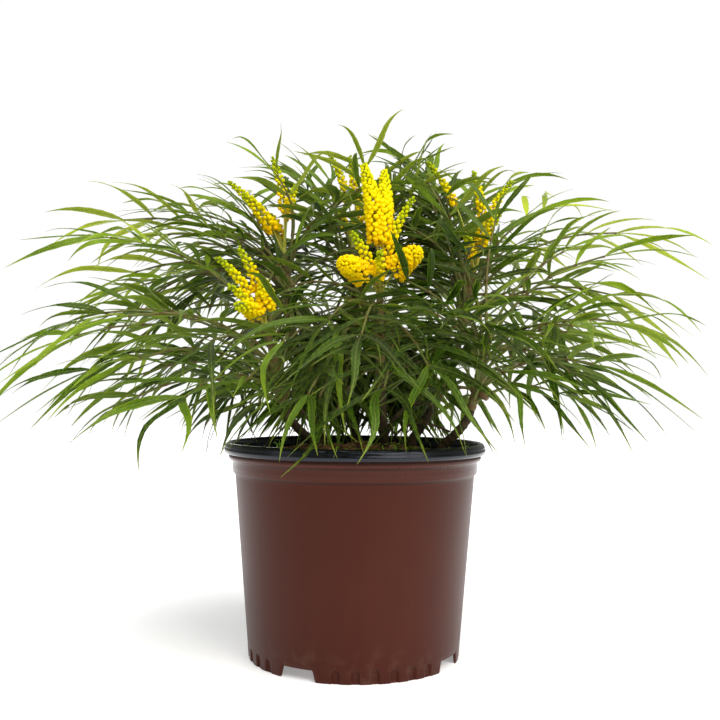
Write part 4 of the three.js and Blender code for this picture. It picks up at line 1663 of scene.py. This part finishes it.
@dataclass
class Mix:
    """The potting mix, with bark chips, moss, weed seedlings and fallen twigs on it."""

    rings: int = 52
    columns: int = 150
    chips: int = 620
    tufts: int = 700
    weeds: int = 26
    needles: int = 90
    layer: float = 4.5
    roughness: float = 3.2

    @staticmethod
    def smooth_top(x: float, y: float) -> float:
        """Height of the heap, as in the CAD source."""
        share = math.cos(min(math.hypot(x, y) / 118, 1) * math.pi * 0.5)
        mound = MixShape.edge + (MixShape.crown - MixShape.edge) * share
        return mound + 1.6 * math.sin(0.071 * x + 1.3) * math.cos(0.083 * y - 0.4)

    def top(self, x: float, y: float) -> float:
        """Height of the crumbly surface."""
        rough = noise.fractal(Vector((x, y, 0)) * 0.055, 0.9, 2.1, 5)
        fade = smooth(MixShape.reach - math.hypot(x, y), 0, 6)
        return self.smooth_top(x, y) + (self.layer + self.roughness * rough) * fade

    def surface(self) -> None:
        """The heap itself, closed below the rim."""
        batch = Batch()
        reach, low = MixShape.reach - 0.2, 196.0
        rows = [[(0.0, 0.0, self.top(0, 0))]]
        for i in range(1, self.rings + 1):
            r = reach * i / self.rings
            ring = [polar(360 * k / self.columns, r) for k in range(self.columns)]
            rows.append([(x, y, self.top(x, y)) for x, y, _ in ring])
        rows.append([(x, y, low) for x, y, _ in rows[-1]])
        rows.append([(0.0, 0.0, low)])
        points = np.array([p for row in rows for p in row])
        faces: list[tuple[int, ...]] = []
        n, last = self.columns, len(points) - 1
        for k in range(n):
            following = (k + 1) % n
            faces.append((0, 1 + k, 1 + following))
            for i in range(self.rings):
                a, b = 1 + i * n + k, 1 + i * n + following
                faces.append((a, a + n, b + n, b))
            faces.append((last, 1 + self.rings * n + following, 1 + self.rings * n + k))
        batch.add(points, faces)
        finished(batch.build("mix_heap", [Finish.MIX.material()]), "mix", "potting_mix")

    def scatter(self, draw: Draw, reach: float = 121) -> tuple[float, float]:
        """A place on the mix."""
        x, y, _ = polar(360 * draw.value(), reach * math.sqrt(draw.value()))
        return x, y

    def chip_form(self, seed: int) -> Form:
        """A flat splinter of bark with worn edges.

        Args:
            seed: Seed of its shape.

        Returns:
            The shape, about one unit wide.
        """
        start_modelling()
        bpy.ops.mesh.primitive_cube_add(size=1)
        obj = bpy.context.object
        bpy.ops.object.mode_set(mode="EDIT")
        bpy.ops.mesh.select_all(action="SELECT")
        bpy.ops.mesh.subdivide(number_cuts=1)
        bpy.ops.transform.vertex_random(offset=0.14, seed=seed)
        bpy.ops.mesh.vertices_smooth(factor=0.35)
        return Form.taken(obj)

    def bark(self) -> None:
        """Chips of bark, most of them flat and half sunk."""
        draw, batch = Draw(411), Batch()
        forms = [self.chip_form(seed) for seed in (1, 2, 3, 4)]
        for k in range(self.chips):
            x, y = self.scatter(draw)
            size = 2.2 + 6.5 * draw.value() ** 2
            scale = np.array((size * (1 + draw.value()), size * 0.8, size * (0.3 + 0.3 * draw.value())))
            turn, tilt = draw.value() * 6.283, draw.spread(0.5)
            points = forms[k % 4].points * scale
            c, s = math.cos(tilt), math.sin(tilt)
            points = points @ np.array(((1, 0, 0), (0, c, s), (0, -s, c)))
            c, s = math.cos(turn), math.sin(turn)
            points = points @ np.array(((c, s, 0), (-s, c, 0), (0, 0, 1)))
            points += np.array((x, y, self.top(x, y) + size * 0.12))
            batch.add(points, forms[k % 4].faces, tone=draw.value())
        finished(batch.build("bark_chips", [Finish.CHIP.material()]), "mix")

    def blade(
        self, batch: Batch, start: np.ndarray, lean: np.ndarray, size: float, half: float, tone: float
    ) -> None:
        """Adds a small closed blade that leans out from a start.

        Args:
            batch: Where it goes.
            start: Its foot.
            lean: Its direction, not of length one.
            size: Its length.
            half: Half its width.
            tone: Its age.
        """
        ahead = unit(lean)
        side = unit(cross(ahead, UP) + np.array((1e-6, 0, 0)))
        over = cross(side, ahead)
        middle = start + ahead * size * 0.5 + over * size * 0.08
        tip = start + ahead * size - over * size * 0.06
        points = [start, middle - side * half, middle + side * half, middle - over * half * 0.5, tip]
        faces = [(0, 1, 2), (0, 3, 1), (0, 2, 3), (4, 2, 1), (4, 1, 3), (4, 3, 2)]
        shares = np.array((0, 0.5, 0.5, 0.5, 0.8))
        across = np.array((0, 1, 1, 0, 0))
        batch.add(np.array(points), [f[::-1] for f in faces], tone=tone, length=shares, across=across)

    def moss(self) -> None:
        """Tufts of moss, most of them on the right."""
        draw, batch = Draw(87), Batch()
        placed = 0
        while placed < self.tufts:
            x, y = self.scatter(draw, 125)
            likely = 0.25 + 0.7 * smooth(x, -20, 70)
            clump = noise.noise(Vector((x, y, 3)) * 0.045)
            if draw.value() > likely * (0.35 + clump * 1.4):
                continue
            placed += 1
            at = np.array((x, y, self.top(x, y) - 0.4))
            tone = 0.3 + 0.6 * draw.value()
            for k in range(6):
                lean = polar(60 * k + draw.spread(25), 0.5 + 0.4 * draw.value(), 1.0)
                self.blade(batch, at, lean, 2.2 + 2.4 * draw.value(), 0.5, tone)
        finished(batch.build("moss_tufts", [Finish.MOSS.material()]), "leaf")

    def seedlings(self) -> None:
        """Weed seedlings: a thin stalk with four small leaves."""
        draw, batch = Draw(63), Batch()
        for k in range(self.weeds):
            x, y = (
                polar(-20 + draw.spread(70), 84 + 32 * draw.value())[:2]
                if k % 3
                else self.scatter(draw, 118)
            )
            foot = np.array((x, y, self.top(x, y) - 0.5))
            lean = np.array((draw.spread(5), draw.spread(5), 7 + 12 * draw.value()))
            path = np.array([foot, foot + lean * 0.5, foot + lean])
            tube(batch, path, np.array((0.5, 0.4, 0.35)), 4, tone=0.7, length=0.4, across=0.5)
            for pair in range(2):
                at = foot + lean * (0.55 + 0.45 * pair)
                for side in range(2):
                    out = polar(180 * side + 90 * pair + draw.spread(30), 1.0, 0.35 + draw.spread(0.3))
                    tone = 0.5 + 0.5 * draw.value()
                    self.blade(batch, at, out, 3.6 + 3.2 * draw.value(), 1.3, tone)
        finished(batch.build("weed_seedlings", [Finish.WEED.material()]), "leaf")

    def twigs(self) -> None:
        """Dry twigs and needles on the mix."""
        draw, batch = Draw(19), Batch()
        for _ in range(self.needles):
            x, y = self.scatter(draw, 112)
            reach = 5 + 16 * draw.value() ** 2
            turn = draw.value() * 6.283
            step = np.array((math.cos(turn), math.sin(turn), 0)) * reach / 2
            at = np.array((x, y, 0.0))
            path = []
            for share in (-1, 0, 1):
                p = at + step * share + np.array((draw.spread(1.2), draw.spread(1.2), 0))
                p[:2] *= min(1, 122 / max(math.hypot(p[0], p[1]), 1))
                p[2] = self.top(p[0], p[1]) + 0.9 + draw.value()
                path.append(p)
            radius = 0.35 + 0.5 * draw.value()
            tube(batch, np.array(path), np.array((1, 1, 0.6)) * radius, 5, tone=draw.value())
        finished(batch.build("fallen_twigs", [Finish.TWIG.material()]), "mix")

    def build(self) -> None:
        """Makes all that fills the pot."""
        self.surface()
        self.bark()
        self.moss()
        self.seedlings()
        self.twigs()


# The plant


@dataclass
class Cane:
    """A woody cane with leaf scars."""

    crown: Crown
    sides: int = 14
    stations: int = 54

    def build(self) -> None:
        """Models the cane along its path, knobbly at its scars."""
        stops = [np.array((*self.crown.root, CaneShape.foot)), *self.crown.cane_path()]
        knots = np.array(stops)
        steps = np.r_[0, np.cumsum(np.linalg.norm(np.diff(knots, axis=0), axis=1))]
        at = np.linspace(0, steps[-1], self.stations)
        path = np.stack([np.interp(at, steps, knots[:, k]) for k in range(3)], 1)
        for _ in range(3):
            path[1:-1] = (path[:-2] + 2 * path[1:-1] + path[2:]) / 4
        radii = CaneShape.radius + (CaneShape.top_radius - CaneShape.radius) * at / steps[-1]
        draw = Draw(sum(map(ord, self.crown.name)))
        scar = np.zeros(self.stations)
        for k in range(2, self.stations, 4):
            scar[k] = 0.6 + 0.4 * draw.value()
        radii = radii * (0.9 + 0.14 * scar + np.array([draw.spread(0.03) for _ in at]))
        batch = Batch()
        tube(batch, path, radii, self.sides, joint=scar)
        obj = batch.build(f"cane_{self.crown.name}_bark", [Finish.BARK.material()])
        finished(obj, "bark", f"cane_{self.crown.name}")


@dataclass
class Twigs:
    """Bare and pruned twigs among the canes."""

    runs: tuple = (
        (((32, -30, 236), (52, -34, 262), (78, -38, 268)), 3.6, 0.35),
        (((24, -42, 292), (70, -50, 312), (128, -56, 316)), 1.9, 0.6),
        (((40, -40, 232), (62, -52, 248), (96, -62, 240)), 1.6, 0.7),
        (((-30, -24, 230), (-58, -30, 262), (-70, -32, 284)), 2.4, 0.5),
    )

    def build(self) -> None:
        """Makes them as one piece."""
        batch = Batch()
        shares = np.linspace(0, 1, 12)
        for points, radius, taper in self.runs:
            curve = Leaflet(np.array(points, float), UP, False)
            radii = radius * (1 - (1 - taper) * shares)
            tube(batch, curve.points(shares), radii, 8, joint=(np.arange(12) % 4 == 3) * 0.8)
        finished(batch.build("bare_twigs", [Finish.BARK.material()]), "bark")


@dataclass
class Foliage:
    """The fronds of one crown: stem, rachises and leaflets.

    Attributes:
        plant: All that has grown.
        crown: Number of the crown.
        blades: Variants of the flat blade.
        lowest: Height below which tips are lifted, in mm.
        thin_below, thin_within, thin_in_front_of: Where few leaflets are kept, in mm.
        kept_of: There one leaflet of so many is kept.
        width, width_spread: Half width of the blades, as shares of the CAD model's.
        dark, by_height, by_reach, by_depth: Tone of the lowest fronds, and how it rises
        with height and reach and falls inside the crown, as painted shade and older leaves.
    """

    plant: Plant
    crown: int
    blades: list[Form]
    lowest: float = 220
    thin_below: float = 244
    thin_within: float = 240
    thin_in_front_of: float = 30
    kept_of: int = 6
    width: float = 0.73
    width_spread: float = 0.13
    dark: float = 0.15
    by_height: float = 0.36
    by_reach: float = 0.33
    by_depth: float = 0.42

    @staticmethod
    def blade_form(phase: int, teeth: int = 6) -> Form:
        """A leaflet's blade with toothed edges, on X from 0 to 1.

        Args:
            phase: Which of the blade's variants is made.
            teeth: Teeth on a side.

        Returns:
            The blade, its width in shares of the widest, and its thickness in mm.
        """
        sections = [(0.0, 0.24, 1.0)]
        for k in range(teeth):
            for tooth in (False, True):
                u = (k + (0.72 if tooth else 0.2) + 0.08 * phase) / (teeth + 0.75) + 0.05
                if u < 0.36:
                    width = math.sin(0.5 * math.pi * u / 0.36) ** 0.7
                else:
                    width = max(math.cos(0.5 * math.pi * (u - 0.36) / 0.64), 0) ** 1.15
                width = max(width, 0.07) * (1.07 if tooth else 0.95)
                sections.append((u, width, 1.0 - 0.6 * u))
        sections.append((1.0, 0.03, 0.3))
        form = extruded(sections, 4)
        form.faces = [half for face in form.faces for half in Foliage.halves(form, face)]
        return form

    @staticmethod
    def halves(form: Form, face: tuple[int, ...]) -> list[tuple[int, ...]]:
        """Splits a quad from its edge to its middle, alike above and below the blade.

        Args:
            form: The blade.
            face: One of its faces.

        Returns:
            Two triangles, or the face itself at an end.
        """
        if len(set(np.round(form.points[list(face), 0], 5))) == 1:
            return [face]
        corner = min(face, key=lambda i: (round(form.points[i][0], 5), -abs(form.points[i][1])))
        first = face.index(corner)
        a, b, c, d = face[first:] + face[:first]
        return [(a, b, c), (a, c, d)]

    def bend(self, leaflet: Leaflet, form: Form, draw: Draw) -> tuple[np.ndarray, dict]:
        """Lays a blade along a leaflet's curve.

        Args:
            leaflet: The curve.
            form: The flat blade.
            draw: Numbers that vary its fold, twist and waves.

        Returns:
            Its vertices, and the numbers that they carry.
        """
        u, v, h = form.points.T
        path = leaflet.path.copy()
        size = float(np.linalg.norm(path[2] - path[0]))
        lowest = self.lowest + 20 * smooth(math.hypot(path[2][0], path[2][1]), 150, 210)
        if path[2][2] < lowest:
            path[2][2] = lowest - (lowest - path[2][2]) * 0.3
            path[1][2] = max(path[1][2], 0.6 * path[0][2] + 0.4 * path[2][2])
        if leaflet.straight:
            path[1] += UP * size * (0.02 + 0.05 * draw.value())
        curve = Leaflet(path, leaflet.run, False)
        hook = unit(np.array((draw.spread(1), draw.spread(1), -1.1 + draw.spread(0.9))))
        hook *= size * (0.05 + 0.2 * draw.value() ** 2)
        sway = unit(cross(path[2] - path[0], UP)) * size * draw.spread(0.045)

        def line(t: np.ndarray) -> np.ndarray:
            """Points on the hooked and swaying middle line."""
            late = np.clip((t - 0.5) / 0.5, 0, 1) ** 2
            return curve.points(t) + np.outer(late, hook) + np.outer(np.sin(2 * math.pi * t), sway)

        at = line(u)
        heading = line(u + 0.01) - line(u - 0.01)
        heading /= np.linalg.norm(heading, axis=1)[:, None]
        side = leaflet.run - heading * (heading @ leaflet.run)[:, None]
        side /= np.linalg.norm(side, axis=1)[:, None]
        over = np.cross(side, heading)
        over *= np.sign(over[:, 2].mean()) or 1
        twist = math.radians(draw.spread(24)) + math.radians(draw.spread(62)) * u
        c, s = np.cos(twist)[:, None], np.sin(twist)[:, None]
        side, over = side * c + over * s, over * c - side * s
        width = self.width + draw.spread(self.width_spread)
        half = LeafletShape.half * width * clamp(size / 84, 0.72, 1.08)
        fold, swell = 0.16 + 0.22 * draw.value(), 0.75
        wave = draw.spread(0.5) * np.sin(9 * u + draw.value() * 6)
        lift = np.abs(v) * half * fold + v * wave
        depth = np.where(h > 0, 0.3, 0.42) * h
        points = at + side * (v * half)[:, None] + over * (lift + swell * depth)[:, None]
        return points, {"length": u, "across": v}

    def over_rim(self, leaflet: Leaflet) -> bool:
        """Whether a leaflet's tip hangs low in front, where few are kept."""
        x, y, z = leaflet.path[2]
        near = math.hypot(x, y) < self.thin_within and y < self.thin_in_front_of
        return z < self.thin_below and near

    def leaflets(self) -> None:
        """All leaflets of the crown as one piece."""
        batch, draw = Batch(), Draw(300 + self.crown)
        for frond in self.fronds():
            height = clamp((frond.tip[2] - 265) / 280, 0, 1)
            outward = clamp((math.hypot(frond.tip[0], frond.tip[1]) - 110) / 190, 0, 1)
            # Lighter higher up and farther out; darker on the fronds in between and on the low ones
            tone = self.dark + self.by_height * height + self.by_reach * outward + draw.spread(0.2)
            tone -= (0.12 if frond.filler else 0) + 0.14 * (1 - height)
            for k, leaflet in enumerate(frond.leaflets):
                if k % self.kept_of and self.over_rim(leaflet):
                    continue
                form = self.blades[k % len(self.blades)]
                points, values = self.bend(leaflet, form, draw)
                x, y, z = (leaflet.path[0] + leaflet.path[2]) / 2
                # Darker inside the crown: painted shade, with darker old leaves there as well
                depth = clamp(1.1 - math.hypot(x / 300, y / 250, (z - 320) / 190), 0, 1)
                tone_and_painted_shade = clamp(tone + draw.spread(0.16) - self.by_depth * depth, 0, 1)
                batch.add(points, form.faces, self.under(form), tone=tone_and_painted_shade, **values)
        materials = [Finish.LEAF_TOP.material(), Finish.LEAF_UNDER.material()]
        name = CROWNS[self.crown].name
        obj = crisp(batch.build(f"leaflets_{name}", materials), 60)
        finished(obj, "leaf", f"fronds_{name}")

    @staticmethod
    def under(form: Form) -> list[int]:
        """Material slot of each face of a blade: 1 where it is the underside."""
        return [int(sum(form.points[i][2] for i in face) < 0) for face in form.faces]

    def fronds(self) -> list[Frond]:
        """Fronds of the crown."""
        grown = self.plant.fronds + self.plant.fillers
        return [frond for frond in grown if frond.crown == self.crown]

    def rachises(self) -> None:
        """The leafy stem and all rachises as one piece."""
        batch, crown = Batch(), CROWNS[self.crown]
        shares = np.linspace(0, 1, 22)
        stem = np.array([crown.on_stem(-StemShape.length + 83.5 * t) for t in shares])
        scars = (np.arange(22) % 2) * 0.5
        radii = StemShape.radius * (1.05 - 0.25 * shares) * (0.88 + 0.3 * scars)
        tube(batch, stem, radii, 10, joint=0.35 + scars)
        for frond in self.fronds():
            marks = sorted(
                {0, 0.02, 0.05, 0.1, 1}
                | {round(s + d / frond.length, 5) for s in frond.joints for d in (-5, -2, 0, 2)}
                | {round(0.12 + 0.1 * k, 5) for k in range(8)}
            )
            stops = np.array([s for s in marks if s <= 1])
            near = np.array([min(abs(s - j) for j in frond.joints) * frond.length for s in stops])
            joint = np.clip(1 - near / 4, 0, 1)
            radii = (1.75 - 0.85 * stops) * (1 + 0.4 * joint)
            radii = radii * (1 + 0.9 * np.clip(1 - stops / 0.06, 0, 1))
            path = np.array([frond.point(s) for s in stops])
            tube(batch, path, radii, 6, joint=joint * 0.9 + np.clip(0.5 - stops * 3, 0, 1))
        name = f"rachises_{crown.name}"
        finished(batch.build(name, [Finish.RACHIS.material()]), "leaf", f"fronds_{crown.name}")

    def build(self) -> None:
        """Makes the crown's pieces."""
        self.rachises()
        self.leaflets()


@dataclass
class FlowerForms:
    """The florets that all racemes copy, each growing along Z from its stalk's foot."""

    bud: Form
    flower: Form

    @classmethod
    def modelled(cls) -> "FlowerForms":
        """Models a bud and an open flower, one unit wide.

        Returns:
            Both forms.
        """
        bud = [(0.0, 0.1, 0.1), (0.1, 0.32, 0.32), (0.36, 0.5, 0.5), (0.66, 0.46, 0.46)]
        bud += [(0.92, 0.25, 0.25), (1.0, 0.06, 0.06)]
        globe = [(0.0, 0.1), (0.1, 0.34), (0.3, 0.5), (0.55, 0.54), (0.78, 0.42), (0.9, 0.24)]
        globe += [(0.76, 0.14), (0.72, 0.05)]
        flower = extruded([(x, r, r) for x, r in globe], 10)
        x, y, z = flower.points.T
        petal = np.round(np.arctan2(z, y) / (math.pi / 5)) % 2
        upper = np.clip((x - 0.2) / 0.5, 0, 1) * (np.hypot(y, z) > 0.2)
        flower.points[:, 1:] *= (1 + upper * (0.16 - 0.3 * petal))[:, None]
        flower.points[:, 0] += upper * (0.08 - 0.14 * petal)
        return cls(extruded(bud, 8), flower)


@dataclass
class Inflorescence:
    """The racemes of one crown.

    Attributes:
        crown: Number of the crown.
        forms: Bud and flower.
        stalk_radius: Radius of a raceme's stalk, in mm.
        splay: How far the two tallest racemes bow apart, in mm.
        bud_size, flower_size: Widths, in mm.
        club_from: Radius from which a raceme is a short wide club, in mm.
        club_bare, club_bulk, club_count: What a club has more of bare stalk, width and florets.
    """

    crown: int
    forms: FlowerForms
    stalk_radius: float = 1.15
    splay: float = 4.5
    bud_size: float = 4.7
    flower_size: float = 5.6
    club_from: float = 10
    club_bare: float = 0.12
    club_bulk: float = 1.3
    club_count: float = 1.5

    def line(self, raceme: Raceme, s: float) -> np.ndarray:
        """The middle line, with the two tallest racemes bowed a little apart."""
        aside = {0: -self.splay, 1: self.splay}.get(RACEMES.index(raceme), 0)
        return raceme.point(s) + np.array((aside * 4 * s * (1 - s), 0, 0))

    def floret(
        self, batch: Batch, form: Form, at: np.ndarray, out: np.ndarray, size: float, ripe: float
    ) -> None:
        """Adds a floret.

        Args:
            batch: Where it goes.
            form: Bud or flower.
            at: Its foot.
            out: Its direction.
            size: Its width.
            ripe: Its colour, from bud to open flower.
        """
        side = unit(cross(out, UP))
        axes = np.array((out, side, cross(out, side)))
        points = at + (form.points * size) @ axes
        batch.add(points, form.faces, 0, ripe=ripe + 0.1 * (form.points[:, 0] - 0.4))

    def raceme(self, raceme: Raceme, stalks: Batch, florets: Batch, draw: Draw) -> None:
        """Adds one raceme: dense and open below, in bud towards its tip.

        Args:
            raceme: The raceme.
            stalks: Where its stalks go.
            florets: Where its florets go.
            draw: Numbers that vary its florets.
        """
        shares = np.linspace(0, 1, 14)
        path = np.array([self.line(raceme, s) for s in shares])
        tube(stalks, path, self.stalk_radius * (1.2 - 0.8 * shares), 6, joint=0.0)
        length = float(np.linalg.norm(np.diff(path, axis=0), axis=1).sum())
        dense = smooth(raceme.radius, 6.4, 9) * (1 if raceme.crown < 2 else 0.6)
        pitch = 1.3 - 0.66 * dense
        club = raceme.radius > self.club_from
        bare = raceme.bare + (self.club_bare if club else 0)
        bulk = raceme.radius * (self.club_bulk if club else 1 + 0.15 * dense)
        count = int(length * (1 - bare) / pitch * (self.club_count if club else 1))
        turn = draw.value() * 360
        for k in range(count):
            share = k / (count - 1)
            s = bare + (1 - bare) * share
            turn += GOLDEN_TURN
            run = unit(self.line(raceme, min(s + 0.01, 1)) - self.line(raceme, min(s + 0.01, 1) - 0.02))
            side = unit(cross(run, UP) + np.array((1e-6, 0, 0)))
            over = cross(side, run)
            angle = math.radians(turn + draw.spread(12))
            around = side * math.cos(angle) + over * math.sin(angle)
            open_share = 0.5 + 0.2 * dense
            taper = (1 - share**3.4) ** 0.6 if club else 1 - 0.6 * share**3
            opened = share + draw.spread(0.1) < open_share * dense
            size = self.flower_size if opened else self.bud_size * (0.5 + 0.5 * taper)
            reach = max(bulk * taper - size * 0.85, 0.8)
            lift = 0.35 + 0.5 * share
            out = unit(around + run * lift)
            foot = self.line(raceme, s)
            at = foot + out * reach
            paling = 0.25 if club else 1.0 - 0.35 * dense
            ripe = clamp(0.9 - share * paling + draw.spread(0.12), 0.02, 1)
            form = self.forms.flower if opened else self.forms.bud
            self.floret(florets, form, at, out, size * (1 + draw.spread(0.1)), ripe)
            if not opened or dense < 0.5:
                stem = np.array((foot, at + out * size * 0.1))
                tube(stalks, stem, np.array((0.45, 0.4)), 4, joint=0.0)

    def build(self) -> None:
        """Makes the stalks and the florets of the crown."""
        crown = CROWNS[self.crown]
        stalks, florets, draw = Batch(), Batch(), Draw(900 + self.crown)
        collar = np.array([crown.on_stem(StemShape.top + h) for h in (0.3, 4, 9)])
        tube(stalks, collar, np.array((3.6, 3.6, 2.4)), 8, joint=0.6)
        for raceme in RACEMES:
            if raceme.crown == self.crown:
                self.raceme(raceme, stalks, florets, draw)
        node = f"racemes_{crown.name}"
        stalk = stalks.build(f"flower_stalks_{crown.name}", [Finish.FLOWER_STALK.material()])
        finished(stalk, "flower", node)
        floret = florets.build(f"florets_{crown.name}", [Finish.PETAL.material()])
        finished(floret, "flower", node)


# The studio


@dataclass
class StudioSet:
    """Floor, lights and camera.

    Attributes:
        distance: From the camera to the pot's axis, in metres.
        eye: Height of the camera, in metres.
        lens: Focal length, in mm on a sensor 36 mm wide.
        pitch: Tilt above the horizon, in degrees.
        roll: Turn about the view, in degrees.
        shift: Horizontal shift of the lens.
        surround: Strength of the light that comes from all round.
    """

    distance: float = 1.032
    eye: float = 0.285
    lens: float = 955.6 / 720 * 36
    pitch: float = 1.6
    roll: float = -0.42
    shift: float = 0.0063
    surround: float = 0.28

    def camera(self) -> None:
        """The camera at the photograph's viewing angle."""
        data = bpy.data.cameras.new("camera")
        data.lens, data.sensor_width, data.shift_x = self.lens, 36, self.shift
        camera = bpy.data.objects.new("camera", data)
        camera.location = (0, -self.distance, self.eye)
        camera.rotation_euler = (math.radians(90 + self.pitch), math.radians(self.roll), 0)
        bpy.context.scene.collection.objects.link(camera)
        bpy.context.scene.camera = camera

    def light(self, name: str, place: Vector, size: float, power: float, tint: str) -> None:
        """A soft square light that faces the plant.

        Args:
            name: Its name.
            place: Where it hangs, in metres.
            size: Its width, in metres.
            power: Its power, in watts.
            tint: Its colour.
        """
        data = bpy.data.lights.new(name, "AREA")
        data.shape, data.size, data.energy, data.color = "SQUARE", size, power, colour(tint)[:3]
        light = bpy.data.objects.new(name, data)
        light.location = place
        aim = Vector((0, 0, 0.28)) - place
        light.rotation_euler = aim.to_track_quat("-Z", "Y").to_euler()
        bpy.context.scene.collection.objects.link(light)

    def sun(self) -> None:
        """An even soft light from above, a little from the front."""
        data = bpy.data.lights.new("sky_panel", "SUN")
        data.energy, data.angle = 3.0, math.radians(65)
        light = bpy.data.objects.new("sky_panel", data)
        light.rotation_euler = (math.radians(24), math.radians(10), 0)
        bpy.context.scene.collection.objects.link(light)

    def floor(self) -> None:
        """A pale floor, and a bright dome round it that only the camera sees."""
        start_modelling()
        bpy.ops.mesh.primitive_plane_add(size=12, location=(0, 0, 0))
        obj = bpy.context.object
        obj.name = "floor"
        bpy.ops.object.transform_apply(location=True, rotation=True, scale=True)
        obj.data.materials.append(Finish.PAPER.material())
        start_modelling()
        bpy.ops.mesh.primitive_uv_sphere_add(segments=48, ring_count=24, radius=5.9)
        dome = bpy.context.object
        dome.name = "bright_backdrop"
        dome.data.materials.append(Finish.GLOW.material())
        dome.visible_diffuse = dome.visible_glossy = dome.visible_shadow = False
        dome.visible_transmission = dome.visible_volume_scatter = False

    def world(self) -> None:
        """A dim even surround."""
        world = bpy.data.worlds.new("surround")
        world.use_nodes = True
        background = world.node_tree.nodes["Background"]
        background.inputs["Color"].default_value = (1, 1, 1, 1)
        background.inputs["Strength"].default_value = self.surround
        bpy.context.scene.world = world
        bpy.context.scene.view_settings.view_transform = "Standard"

    def build(self) -> None:
        """Sets up the studio."""
        self.world()
        self.floor()
        self.sun()
        self.light("key", Vector((1.45, -1.6, 1.4)), 1.8, 33, "#fffaf2")
        self.light("fill", Vector((-1.9, -0.9, 0.9)), 0.8, 1.5, "#fbfcff")
        self.light("back", Vector((-0.5, 1.9, 1.2)), 1.0, 10, "#ffffff")
        self.camera()


def main() -> None:
    """Builds the scene and reports each piece."""
    logging.basicConfig(level=logging.INFO, format="%(message)s")
    StudioSet().build()
    Pot().build()
    Mix().build()
    plant = Plant()
    log.info("%d fronds, %d leaflets", len(plant.fronds), sum(len(f.leaflets) for f in plant.fronds))
    blades = [Foliage.blade_form(phase) for phase in range(3)]
    forms = FlowerForms.modelled()
    Twigs().build()
    for i, crown in enumerate(CROWNS):
        Cane(crown).build()
        Foliage(plant, i, blades).build()
        if any(raceme.crown == i for raceme in RACEMES):
            Inflorescence(i, forms).build()


if __name__ == "__main__":
    main()
